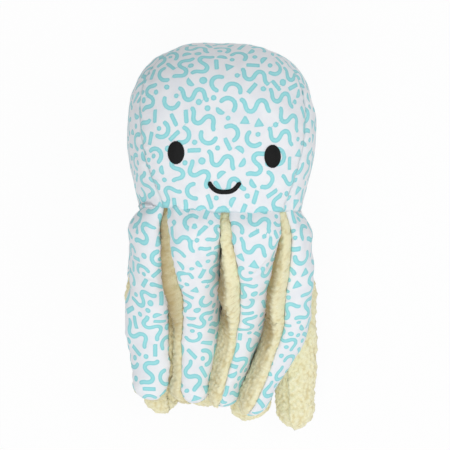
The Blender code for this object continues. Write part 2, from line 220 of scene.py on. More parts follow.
class Shader(Nodes):
    """One node material in the making."""

    def __init__(self, name: str) -> None:
        """Start with a bare Principled surface."""
        self.material = bpy.data.materials.new(name)
        self.material.use_nodes = True
        self.tree = self.material.node_tree
        self.surface = self.tree.nodes["Principled BSDF"]

    def attribute(self, name: str) -> Value:
        """Read a number that the mesh stores."""
        return self.value(self.node("ShaderNodeAttribute", {"attribute_name": name}).outputs["Fac"])

    def mix(self, factor: object, first: object, second: object) -> bpy.types.NodeSocket:
        """Mix two colours.

        Args:
            factor: The share of the second colour.
            first: A colour or a link.
            second: A colour or a link.

        Returns:
            The mixed colour's socket.
        """
        made = self.node("ShaderNodeMix", {"data_type": "RGBA"})
        colours = [socket for socket in made.inputs if socket.type == "RGBA"]
        for socket, given in zip((made.inputs[0], *colours), (factor, first, second)):
            self.feed(socket, given)
        return next(socket for socket in made.outputs if socket.type == "RGBA")

    def noise(self, size: float, detail: float = 2.0) -> Value:
        """Cloudy noise on Object coordinates.

        Args:
            size: The size of one cloud, in metres.
            detail: How many finer layers it has.

        Returns:
            The noise, around 0.5.
        """
        place = self.node("ShaderNodeTexCoord").outputs["Object"]
        made = self.node("ShaderNodeTexNoise", Vector=place, Scale=1 / size, Detail=detail)
        return self.value(made.outputs["Fac"])

    def bump(self, height: Value, distance: float, strength: float) -> bpy.types.NodeSocket:
        """Add a Bump node.

        Args:
            height: The height, from 0 to 1.
            distance: The height of 1, in metres.
            strength: The share of the bump that shows.

        Returns:
            The new normal's socket.
        """
        made = self.node("ShaderNodeBump", Height=height, Distance=distance, Strength=strength)
        return made.outputs["Normal"]

    def set(self, **inputs: object) -> None:
        """Set the surface's sockets."""
        for name, given in inputs.items():
            self.feed(self.surface.inputs[name.replace("_", " ")], given)


@dataclass(frozen=True)
class PrintedCotton:
    """Soft printed cloth: aqua shapes on a lavender white ground, with painted shade in its seam
    grooves.
    """

    ground: tuple = (0.85, 0.865, 0.895, 1)
    shade: tuple = (0.76, 0.79, 0.85, 1)
    ink: tuple = (0.37, 0.77, 0.80, 1)
    ink_edge: tuple = (0.26, 0.66, 0.71, 1)
    edge_blur: float = 0.3
    edge_width: float = 0.75
    edge_cloud: float = 0.0016
    edge_wander: float = 0.35
    # Painted shade: the darker teal that the seam grooves and the neck ring take on.
    seam_shade: tuple = (0.40, 0.62, 0.65, 1)
    seam_shade_share: float = 0.3
    shade_share: float = 0.55
    cloud: float = 0.012
    fuzz: float = 0.0011
    relief: float = 0.0006
    weave: float = 0.0007

    def make(self) -> bpy.types.Material:
        """Build the material, which reads the ink distance in millimetres from the mesh."""
        shader = Shader("printed_cotton")
        distance = shader.attribute("ink_distance")
        wander = (shader.noise(self.edge_cloud) - 0.5) * self.edge_wander
        edge = distance + wander
        inked = 1 - edge.step(-self.edge_blur, self.edge_blur)
        middle = 1 - edge.step(-2 * self.edge_width, 0.0)
        cloud = shader.noise(self.cloud, 3.0)
        ground = shader.mix(cloud.step(0.35, 0.75) * self.shade_share, self.ground, self.shade)
        ink = shader.mix(middle * 0.8 + (cloud - 0.5) * 0.5, self.ink_edge, self.ink)
        depth = shader.attribute("groove")
        plain = shader.mix(inked, ground, ink)
        # Painted shade: the colour darkens towards teal where the cloth sinks into a seam groove.
        shaded = shader.mix(depth.step(0.3, 1.0) * self.seam_shade_share, plain, self.seam_shade)
        threads = self.threads(shader)
        fuzz = shader.noise(self.fuzz, 3.0)
        normal = shader.bump(threads * 0.5 + fuzz, self.relief, strength=0.35)
        shader.set(Base_Color=shaded, Roughness=0.88, Normal=normal)
        shader.set(Sheen_Weight=0.25, Sheen_Roughness=0.45, Specular_IOR_Level=0.25)
        return shader.material

    def threads(self, shader: Shader) -> Value:
        """Height of the plain weave over the panel's own UV map."""
        place = shader.node("ShaderNodeUVMap", {"uv_map": "cloth"}).outputs["UV"]
        split = shader.node("ShaderNodeSeparateXYZ")
        shader.tree.links.new(place, split.inputs[0])
        turn = 2 * math.pi / self.weave
        across = (shader.value(split.outputs[0]) * turn).sine()
        along = (shader.value(split.outputs[1]) * turn).sine()
        return across * along * 0.5 + 0.5


@dataclass(frozen=True)
class CurlyFleece:
    """Cream fleece with painted shade, darker in the hollows between curls and brown in the
    crevices between arms, and painted highlights on the curl tips.
    """

    cream: tuple = (0.88, 0.83, 0.55, 1)
    # Painted highlight for the curl tops.
    pale: tuple = (0.94, 0.91, 0.68, 1)
    # Painted shade for the hollows between the curls.
    curl_valley_shade: tuple = (0.76, 0.67, 0.39, 1)
    # Painted shade: the dark brown of the crevices between neighbouring arms.
    crevice: tuple = (0.34, 0.235, 0.085, 1)
    crevice_shade_share: float = 0.9
    cloud: float = 0.009
    fibre: float = 0.0011
    relief: float = 0.0014

    def make(self) -> bpy.types.Material:
        """Build the material, which reads the curls' height from the mesh."""
        shader = Shader("sherpa_fleece")
        height = shader.attribute("curl")
        cloud = shader.noise(self.cloud, 3.0)
        fine = shader.noise(self.fibre, 4.0)
        # Painted shade: the low parts of the curls take the darker colour.
        body = shader.mix((height + (cloud - 0.5) * 0.5).step(0.0, 0.42), self.curl_valley_shade, self.cream)
        deep = shader.attribute("shade")
        # Painted shade between the arms, set by the stored shade share.
        body = shader.mix(deep * self.crevice_shade_share, body, self.crevice)
        # Painted highlight: the curl tops turn paler, less so in the crevices between arms.
        light = (height + (fine - 0.5) * 0.8).step(0.45, 0.95) * (0.8 - deep * 0.75)
        tips = shader.mix(light, body, self.pale)
        normal = shader.bump(fine, self.relief, strength=0.6)
        shader.set(Base_Color=tips, Roughness=1.0, Normal=normal)
        shader.set(Sheen_Weight=0.3, Sheen_Roughness=0.5, Specular_IOR_Level=0.1)
        return shader.material


@dataclass(frozen=True)
class BlackThread:
    """Glossy black embroidery thread."""

    black: tuple = (0.004, 0.004, 0.004, 1)
    worn: tuple = (0.016, 0.016, 0.018, 1)
    strand: float = 0.0004

    def make(self) -> bpy.types.Material:
        """Build the material."""
        shader = Shader("black_thread")
        strands = shader.noise(self.strand)
        colour = shader.mix(strands.step(0.4, 0.8) * 0.6, self.black, self.worn)
        normal = shader.bump(strands, self.strand / 2, strength=0.5)
        shader.set(Base_Color=colour, Roughness=0.5, Normal=normal, Specular_IOR_Level=0.22)
        return shader.material


@dataclass(frozen=True)
class HiddenFinish:
    """A plain finish for what lies inside the toy."""

    name: str
    colour: tuple
    darker: tuple
    grain: float
    roughness: float

    def make(self) -> bpy.types.Material:
        """Build the material."""
        shader = Shader(self.name)
        cloud = shader.noise(self.grain, 4.0)
        colour = shader.mix(cloud.step(0.3, 0.7), self.darker, self.colour)
        normal = shader.bump(cloud, self.grain / 2, strength=0.4)
        shader.set(Base_Color=colour, Roughness=self.roughness, Normal=normal)
        return shader.material


class Inside(Enum):
    """The finishes of the hidden pieces."""

    FIBRE = HiddenFinish(
        "fibre_filling", (0.84, 0.84, 0.82, 1), (0.66, 0.66, 0.64, 1), grain=0.0015, roughness=1.0
    )
    PLASTIC = HiddenFinish(
        "squeaker_plastic", (0.80, 0.81, 0.78, 1), (0.70, 0.71, 0.68, 1), grain=0.01, roughness=0.35
    )
    LINING = HiddenFinish(
        "lining_cotton", (0.80, 0.82, 0.84, 1), (0.70, 0.72, 0.76, 1), grain=0.0006, roughness=0.9
    )


class Noise:
    """Smooth unevenness made of a few plane waves with a fixed seed."""

    def __init__(self, seed: int, size: float, waves: int = 9, spread: float = 0.5) -> None:
        """Draw the waves.

        Args:
            seed: The fixed seed.
            size: The usual wavelength, in metres.
            waves: How many waves there are.
            spread: How much the wavelengths differ.
        """
        chosen = random.Random(seed)
        self.waves = []
        for _ in range(waves):
            turn = chosen.uniform(0, 2 * math.pi)
            tilt = chosen.uniform(-1, 1)
            flat = math.sqrt(1 - tilt**2)
            length = size * (1 + chosen.uniform(-spread, spread))
            direction = np.array((flat * math.cos(turn), flat * math.sin(turn), tilt))
            self.waves.append((direction * 2 * math.pi / length, chosen.uniform(0, 2 * math.pi)))

    def at(self, points: np.ndarray) -> np.ndarray:
        """Read the unevenness, about -1 to 1, at points of two or three coordinates."""
        size = points.shape[-1]
        total = sum(np.sin(points @ wave[:size] + phase) for wave, phase in self.waves)
        return total / math.sqrt(len(self.waves) * 1.2)


# The print


class Shape(Enum):
    """The kinds of printed shape, each with its round of picking: large shapes go first."""

    WAVE = (0, "wave")
    ARC = (0, "arc")
    BAR = (1, "bar")
    TRIANGLE = (1, "triangle")
    HALF_DISC = (1, "half_disc")
    DOT = (2, "dot")


@dataclass(frozen=True)
class PrintSizes:
    """Sizes of the printed shapes, in millimetres."""

    stroke: float = 3.3
    wave_length: float = 34.0
    wave_period: float = 25.0
    wave_heading: float = 1.3
    arc_radius: float = 5.6
    arc_half_sweep: float = 1.6
    dot_radius: float = 3.0
    triangle_radius: float = 4.7
    bar_length: float = 10.0
    half_disc_radius: float = 4.0
    clearance: float = 1.5
    bolt: float = 132.0
    far: float = 5.0
    scales: tuple = (0.62, 1.08)
    tries: tuple = (7000, 9000, 9000)
    quotas: tuple = (24, 22, 40, 34, 14, 100)


@dataclass(frozen=True)
class Motif:
    """One printed shape on the bolt of cloth."""

    shape: Shape
    x: float
    y: float
    turn: float
    bend: float


@dataclass
class PrintBolt:
    """A bolt of printed cloth that repeats in both directions, from which panels are cut."""

    sizes: PrintSizes = field(default_factory=PrintSizes)
    seed: int = 41

    def skeleton(self, shape: Shape) -> tuple[np.ndarray, float]:
        """Give the line that a shape is drawn along.

        Args:
            shape: The kind of shape.

        Returns:
            Points along the line and half the thickness round them.
        """
        sizes = self.sizes
        if shape is Shape.WAVE:
            places = np.linspace(-0.5, 0.5, 25) * sizes.wave_length
            heading = sizes.wave_heading * np.cos(2 * np.pi * places / sizes.wave_period)
            steps = np.stack((np.cos(heading), np.sin(heading)), 1) * (places[1] - places[0])
            line = np.cumsum(steps, 0)
            return line - line.mean(0), sizes.stroke / 2
        if shape is Shape.ARC:
            turns = np.linspace(-1, 1, 9) * sizes.arc_half_sweep
            arc = np.stack((np.sin(turns), np.cos(turns) - 0.5), 1) * sizes.arc_radius
            return arc, sizes.stroke / 2
        if shape is Shape.BAR:
            along = np.linspace(-0.5, 0.5, 4) * (sizes.bar_length - sizes.stroke)
            return np.stack((along, along * 0), 1), sizes.stroke / 2
        if shape is Shape.TRIANGLE:
            return np.zeros((1, 2)), sizes.triangle_radius * 0.9
        if shape is Shape.HALF_DISC:
            return np.array(((0.0, sizes.half_disc_radius * 0.4),)), sizes.half_disc_radius * 0.85
        return np.zeros((1, 2)), sizes.dot_radius

    @cached_property
    def motifs(self) -> list[Motif]:
        """Throw shapes onto the bolt, large ones first, and keep those that lie clear."""
        chosen = random.Random(self.seed)
        bolt = self.sizes.bolt
        lines = {shape: self.skeleton(shape) for shape in Shape}
        taken = np.zeros((0, 3))
        kept = []
        left = dict(zip(Shape, self.sizes.quotas))
        for round_index, tries in enumerate(self.sizes.tries):
            for _ in range(tries):
                kinds = [shape for shape in Shape if shape.value[0] == round_index and left[shape]]
                if not kinds:
                    break
                shape = chosen.choice(kinds)
                x, y = chosen.uniform(0, bolt), chosen.uniform(0, bolt)
                motif = Motif(
                    shape, x, y, chosen.uniform(0, 2 * math.pi), chosen.uniform(*self.sizes.scales)
                )
                line, radius = lines[shape]
                if shape is Shape.DOT:
                    radius *= motif.bend
                cosine, sine = math.cos(motif.turn), math.sin(motif.turn)
                placed = line @ np.array(((cosine, sine), (-sine, cosine))) + (x, y)
                if len(taken):
                    apart = placed[:, None, :] - taken[None, :, :2]
                    apart -= bolt * np.round(apart / bolt)
                    gap = np.sqrt((apart**2).sum(2)) - radius - taken[None, :, 2]
                    if gap.min() < self.sizes.clearance:
                        continue
                kept.append(motif)
                left[shape] -= 1
                circles = np.column_stack((placed, np.full(len(placed), radius)))
                taken = np.concatenate((taken, circles))
        return kept

    def shape_distance(self, motif: Motif, x: np.ndarray, y: np.ndarray) -> np.ndarray:
        """Signed distance to one shape.

        Args:
            motif: The shape.
            x: Places along the shape's own first axis, in millimetres.
            y: Places along its second axis.

        Returns:
            The distance, negative inside the ink.
        """
        sizes = self.sizes
        shape = motif.shape
        if shape is Shape.DOT:
            return np.hypot(x, y) - sizes.dot_radius * motif.bend
        if shape is Shape.TRIANGLE:
            sides = [
                x * math.sin(turn) + y * math.cos(turn)
                for turn in (0, 2 * math.pi / 3, 4 * math.pi / 3)
            ]
            return np.maximum.reduce(sides) - sizes.triangle_radius / 2
        if shape is Shape.HALF_DISC:
            return np.maximum(np.hypot(x, y) - sizes.half_disc_radius, -y)
        if shape is Shape.BAR:
            return np.maximum(np.abs(x) - sizes.bar_length / 2, np.abs(y) - sizes.stroke / 2)
        line, radius = self.skeleton(shape)
        return self.line_distance(line, x, y) - radius

    @staticmethod
    def line_distance(line: np.ndarray, x: np.ndarray, y: np.ndarray) -> np.ndarray:
        """Distance to a line of points."""
        nearest = np.full(x.shape, np.inf)
        for start, end in zip(line, line[1:]):
            run = end - start
            share = ((x - start[0]) * run[0] + (y - start[1]) * run[1]) / (run @ run)
            share = np.clip(share, 0, 1)
            away = np.hypot(x - start[0] - share * run[0], y - start[1] - share * run[1])
            nearest = np.minimum(nearest, away)
        return nearest

    def distance(self, u: np.ndarray, v: np.ndarray) -> np.ndarray:
        """Signed distance to the nearest shape at places on the bolt.

        Args:
            u: Places across, in metres.
            v: Places along, in metres.

        Returns:
            The distance in millimetres, negative inside the ink.
        """
        bolt = self.sizes.bolt
        reach = self.sizes.wave_length
        u, v = u / MILLIMETRE, v / MILLIMETRE
        nearest = np.full(u.shape, self.sizes.far)
        for motif in self.motifs:
            x = u - motif.x
            y = v - motif.y
            x -= bolt * np.round(x / bolt)
            y -= bolt * np.round(y / bolt)
            near = (np.abs(x) < reach) & (np.abs(y) < reach)
            if not near.any():
                continue
            cosine, sine = math.cos(motif.turn), math.sin(motif.turn)
            turned_x = x[near] * cosine + y[near] * sine
            turned_y = y[near] * cosine - x[near] * sine
            found = self.shape_distance(motif, turned_x, turned_y)
            nearest[near] = np.minimum(nearest[near], found)
        return nearest


@dataclass(frozen=True)
class Cut:
    """Where on the bolt a panel is cut, in metres and radians."""

    across: float
    along: float
    turn: float

    def place(self, u: np.ndarray, v: np.ndarray) -> tuple[np.ndarray, np.ndarray]:
        """Turn a panel's own places into places on the bolt."""
        cosine, sine = math.cos(self.turn), math.sin(self.turn)
        return self.across + u * cosine - v * sine, self.along + u * sine + v * cosine


# Skins


def grid_normals(points: np.ndarray, outwards_from: np.ndarray) -> np.ndarray:
    """Normals of a grid that is closed in its second direction.

    Args:
        points: Rows of points round the form.
        outwards_from: The middle of each row.

    Returns:
        Unit normals that point away from the middle.
    """
    along = np.gradient(points, axis=0)
    across = np.roll(points, -1, 1) - np.roll(points, 1, 1)
    normals = np.cross(across, along)
    lengths = np.linalg.norm(normals, axis=2, keepdims=True)
    normals = normals / np.maximum(lengths, 1e-12)
    away = points - outwards_from[:, None, :]
    middle = len(points) // 2
    if (normals[middle] * away[middle]).sum() < 0:
        normals = -normals
    normals[-1] = normals[-2]
    return normals


def seam_distance(u: np.ndarray) -> np.ndarray:
    """Distance from each place across a panel to the nearer of its two seams."""
    return np.minimum(u - u[:, :1], u[:, -1:] - u)


def add_object(name: str, data: bpy.types.ID) -> bpy.types.Object:
    """Put a mesh, camera or lamp in the scene."""
    made = bpy.data.objects.new(name, data)
    bpy.context.scene.collection.objects.link(made)
    return made


def mesh_object(name: str, surface: bmesh.types.BMesh) -> bpy.types.Object:
    """Put a finished surface in the scene."""
    mesh = bpy.data.meshes.new(name)
    surface.to_mesh(mesh)
    surface.free()
    return add_object(name, mesh)


def declare(made: bpy.types.Object, node: str) -> None:
    """Tell the frame what a piece is.

    Args:
        made: The piece.
        node: The CAD node that it stands for.
    """
    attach(made, BODY)
    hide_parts(node)
    LOG.info("%s: %d faces", made.name, len(made.data.polygons))


@dataclass
class ClothPiece:
    """One piece of cloth of a stuffed skin: a grid of points with its own cloth places."""

    name: str
    points: np.ndarray
    u: np.ndarray
    v: np.ndarray
    groove: np.ndarray
    shade: np.ndarray

    def build(self) -> bpy.types.Object:
        """Make the mesh, with a UV map in metres and the other grids as attributes."""
        rows, columns = self.points.shape[:2]
        surface = bmesh.new()
        stored = {"cloth_u": self.u, "cloth_v": self.v, "groove": self.groove, "shade": self.shade}
        layers = {name: surface.verts.layers.float.new(name) for name in stored}
        uv_layer = surface.loops.layers.uv.new("cloth")
        grid = [[surface.verts.new(point) for point in row] for row in self.points]
        for i in range(rows):
            for j in range(columns):
                for name, layer in layers.items():
                    grid[i][j][layer] = stored[name][i, j]
        for i in range(rows - 1):
            for j in range(columns - 1):
                corners = (grid[i][j], grid[i][j + 1], grid[i + 1][j + 1], grid[i + 1][j])
                face = surface.faces.new(corners)
                face.smooth = True
                for loop in face.loops:
                    places = (loop.vert[layers["cloth_u"]], loop.vert[layers["cloth_v"]])
                    loop[uv_layer].uv = places
        bmesh.ops.remove_doubles(surface, verts=surface.verts[:], dist=1e-6)
        return mesh_object(self.name, surface)


def read_attribute(mesh: bpy.types.Mesh, name: str) -> np.ndarray:
    """Read a number stored at each point of a mesh."""
    values = np.zeros(len(mesh.vertices), np.float32)
    mesh.attributes[name].data.foreach_get("value", values)
    return values


def write_attribute(mesh: bpy.types.Mesh, name: str, values: np.ndarray) -> None:
    """Store a number at each point of a mesh."""
    made = mesh.attributes.get(name) or mesh.attributes.new(name, "FLOAT", "POINT")
    made.data.foreach_set("value", values.astype(np.float32))


def plain_mesh(made: bpy.types.Object) -> None:
    """Replace an object's mesh by its evaluated one and remove its modifiers."""
    graph = bpy.context.evaluated_depsgraph_get()
    mesh = bpy.data.meshes.new_from_object(made.evaluated_get(graph))
    made.modifiers.clear()
    made.data = mesh
    mesh.name = made.name


def thicken(made: bpy.types.Object, thickness: float) -> None:
    """Give cloth its thickness, inwards."""
    solidify = made.modifiers.new("Cloth", "SOLIDIFY")
    solidify.thickness = thickness
    solidify.offset = -1
    plain_mesh(made)


def rest_on_floor(made: bpy.types.Object) -> None:
    """Press whatever dips below the floor flat against it."""
    places = np.zeros(len(made.data.vertices) * 3, np.float32)
    made.data.vertices.foreach_get("co", places)
    places[2::3] = np.maximum(places[2::3], 0.0)
    made.data.vertices.foreach_set("co", places)


class Tree(Nodes):
    """A Geometry Nodes tree in the making."""

    KINDS = {"float": "NodeSocketFloat", "int": "NodeSocketInt", "material": "NodeSocketMaterial"}

    def __init__(self, name: str) -> None:
        """Start a tree with a geometry input and output."""
        self.tree = bpy.data.node_groups.new(name, "GeometryNodeTree")
        for way in ("INPUT", "OUTPUT"):
            self.tree.interface.new_socket("Geometry", in_out=way, socket_type="NodeSocketGeometry")
        self.entry = self.tree.nodes.new("NodeGroupInput")
        self.exit = self.tree.nodes.new("NodeGroupOutput")
        self.given = {}

    def ask(self, name: str, kind: str, given: object) -> Value:
        """Add a named input and the value that the modifier gives it.

        Args:
            name: The input's name.
            kind: float, int or material.
            given: The value.

        Returns:
            The input inside the tree.
        """
        made = self.tree.interface.new_socket(name, in_out="INPUT", socket_type=self.KINDS[kind])
        self.given[made.identifier] = given
        return self.value(self.entry.outputs[name])

    def finish(self, geometry: bpy.types.NodeSocket, material: bpy.types.Material) -> None:
        """End the tree in Realize Instances and Set Material."""
        wanted = self.ask("Material", "material", material)
        real = self.node("GeometryNodeRealizeInstances", Geometry=geometry)
        dressed = self.node("GeometryNodeSetMaterial", Geometry=real.outputs[0], Material=wanted)
        self.feed(self.exit.inputs[0], dressed.outputs[0])

    def apply(self, made: bpy.types.Object) -> None:
        """Run the tree on an object and keep the result as its plain mesh."""
        modifier = made.modifiers.new(self.tree.name, "NODES")
        modifier.node_group = self.tree
        for identifier, given in self.given.items():
            modifier[identifier] = given
        plain_mesh(made)


@dataclass(frozen=True)
class FleeceCurls:
    """The curls of the fleece, raised from its cloth by Geometry Nodes, in metres."""

    size: float = 0.0027
    height: float = 0.0015
    fine_size: float = 0.0010
    fine_height: float = 0.0011
    wander: float = 0.0022
    wander_scale: float = 260.0
    roundness: float = 0.35
    dome_height: float = 1.12
    dome_fall: float = 1.35
    groove_hold: float = 0.6

    def apply(self, made: bpy.types.Object, material: bpy.types.Material) -> None:
        """Raise the curls and store their height as an attribute.

        Args:
            made: The fleece's object.
            material: Its finish.
        """
        tree = Tree("fleece_curls")
        size = tree.ask("Curl Size", "float", self.size)
        height = tree.ask("Curl Height", "float", self.height)
        fine_size = tree.ask("Fibre Size", "float", self.fine_size)
        fine_height = tree.ask("Fibre Height", "float", self.fine_height)
        place = tree.node("GeometryNodeInputPosition").outputs[0]
        wander = tree.node("ShaderNodeTexNoise", Vector=place, Scale=self.wander_scale)
        scaled = {"operation": "SCALE"}
        offset = tree.node(
            "ShaderNodeVectorMath", scaled, Vector=wander.outputs["Color"], Scale=self.wander
        )
        moved = tree.node("ShaderNodeVectorMath", {"operation": "ADD"}, Vector=place)
        tree.feed(moved.inputs[1], offset.outputs[0])
        cells = tree.node(
            "ShaderNodeTexVoronoi",
            {"feature": "SMOOTH_F1"},
            Vector=moved.outputs[0],
            Scale=1 / size,
            Smoothness=self.roundness,
        )
        dome = self.dome_height - tree.value(cells.outputs["Distance"]) * self.dome_fall
        dome = dome.math("MINIMUM", 1.0).math("MAXIMUM", 0.0)
        fibre = tree.node("ShaderNodeTexNoise", Vector=place, Scale=1 / fine_size)
        groove = tree.node("GeometryNodeInputNamedAttribute", {"data_type": "FLOAT"}, Name="groove")
        free = 1 - tree.value(groove.outputs[0]) * self.groove_hold
        lift = dome * height * free + (tree.value(fibre.outputs["Fac"]) - 0.5) * fine_height
        normal = tree.node("GeometryNodeInputNormal").outputs[0]
        shift = tree.node("ShaderNodeVectorMath", scaled, Vector=normal, Scale=lift)
        stored = tree.node(
            "GeometryNodeStoreNamedAttribute",
            {"data_type": "FLOAT", "domain": "POINT"},
            Geometry=tree.entry.outputs["Geometry"],
            Name="curl",
            Value=dome * free,
        )
        placed = tree.node(
            "GeometryNodeSetPosition", Geometry=stored.outputs[0], Offset=shift.outputs[0]
        )
        tree.finish(placed.outputs[0], material)
        tree.apply(made)


@dataclass(frozen=True)
class Sewing:
    """How cloth sinks and puckers along a panel's two seams and at the neck ring, in metres."""

    depth: float
    width: float
    ring_roll: float
    ring_width: float
    pucker: float
    pucker_length: float
    pucker_reach: float
    phase_wander: float
    phase_side: float
    narrow: float
    neck_growth: float = 0.0
    growth_reach: float = 0.03
    wander_size: float = 0.03
    side_step: float = 0.02

    def relief(self, u: np.ndarray, v: np.ndarray, seed: int) -> tuple[np.ndarray, np.ndarray]:
        """Work out the relief that the seams make.

        Args:
            u: Places across the panel.
            v: Places along it.
            seed: The fixed seed of the puckers.

        Returns:
            The outward offset, and how deep each point lies in a groove.
        """
        half = np.maximum(np.abs(u[:, :1]), np.abs(u[:, -1:]))
        from_seam = seam_distance(u)
        room = smooth(half / (self.narrow * self.width))
        roll = soft_edge(from_seam, self.width, self.depth) * room
        ring = rolled_edge(v, self.ring_width, self.ring_roll)
        side = np.sign(u)
        wander = Noise(seed, self.wander_size).at(np.stack((v, side * self.side_step), -1))
        phase = self.phase_wander * wander + self.phase_side * side
        wave = np.sin(2 * np.pi * v / self.pucker_length + phase)
        grown = 1 + self.neck_growth * np.exp(-v / self.growth_reach)
        pucker = self.pucker * grown * wave * np.exp(-from_seam / self.pucker_reach) * room
        groove = np.clip(np.maximum(roll / self.depth, ring / self.ring_roll), 0, 1)
        return pucker - roll - ring, groove


@dataclass(frozen=True)
class Crease:
    """A fold in the cloth, as a line on a panel. A negative depth is a swelling."""

    across: float
    along: float
    length: float
    turn: float
    depth: float
    width: float
    ridge: float = 0.35

    def relief(self, u: np.ndarray, v: np.ndarray) -> np.ndarray:
        """Height of the cloth round the fold: a valley with a low ridge on each side.

        Args:
            u: Places across the panel.
            v: Places along it.

        Returns:
            The offset in metres.
        """
        cosine, sine = math.cos(self.turn), math.sin(self.turn)
        x = (u - self.across) * cosine + (v - self.along) * sine
        y = (v - self.along) * cosine - (u - self.across) * sine
        fade = np.exp(-((x / (self.length / 2)) ** 4))
        valley = soft_bell(y, self.width)
        ridge = soft_bell(np.abs(y) - 2 * self.width, 1.2 * self.width)
        return self.depth * fade * (self.ridge * ridge - valley)


# The head


@dataclass(frozen=True)
class Neck:
    """The neck ring that carries the arms."""

    arm_count: int = 8
    arm_width: float = 0.035
    root_gap: float = 0.0035
    root_thickness: float = 0.019
    ovalness: float = 1.075
    roundness: float = 1.05 * 2 * math.pi
    squareness: float = 2.8
    total_length: float = 0.2922
    head_height: float = 0.123
    head_depth: float = 0.134
    rest_sink: float = 0.003

    @property
    def mean(self) -> float:
        """The ring's mean half width."""
        return self.arm_count * (self.arm_width + self.root_gap) / self.roundness

    @property
    def half_width(self) -> float:
        """Half the neck's width."""
        return self.mean * self.ovalness + self.root_thickness / 2

    @property
    def half_depth(self) -> float:
        """Half the neck's depth."""
        return self.mean / self.ovalness + self.root_thickness / 2

    @property
    def y(self) -> float:
        """The neck's place along the toy."""
        return self.total_length / 2 - self.head_height

    @property
    def axis_z(self) -> float:
        """The height of the head's middle."""
        return self.head_depth / 2 - self.rest_sink

    def outline(self, angle: float) -> tuple[float, float]:
        """The point of the neck's outline at an angle from +Z towards +X."""
        side, front = math.sin(angle), math.cos(angle)
        total = abs(side / self.half_width) ** self.squareness
        total += abs(front / self.half_depth) ** self.squareness
        radius = total ** (-1 / self.squareness)
        return side * radius, front * radius


@dataclass(frozen=True)
class NeckWave:
    """How the neck seam rises and dips across the front, in millimetres."""

    places: tuple = (-62, -45, -34, -26, -16, 0, 16, 26, 38, 48, 62)
    rises: tuple = (2.4, 2.6, 2.0, 0.4, 0.2, -0.6, -1.6, -2.1, -0.8, -0.4, -1.0)
    fade: float = 0.022
    front_reach: float = 0.03

    def shift(self, points: np.ndarray, neck: Neck) -> np.ndarray:
        """Move points near the neck along the toy.

        Args:
            points: Points of a skin.
            neck: The neck ring.

        Returns:
            How far each point moves along Y, in metres.
        """
        rise = np.interp(points[..., 0] / MILLIMETRE, self.places, self.rises) * MILLIMETRE
        fade = soft_bell(points[..., 1] - neck.y, self.fade)
        front = smooth((points[..., 2] - neck.axis_z) / self.front_reach)
        return rise * fade * front


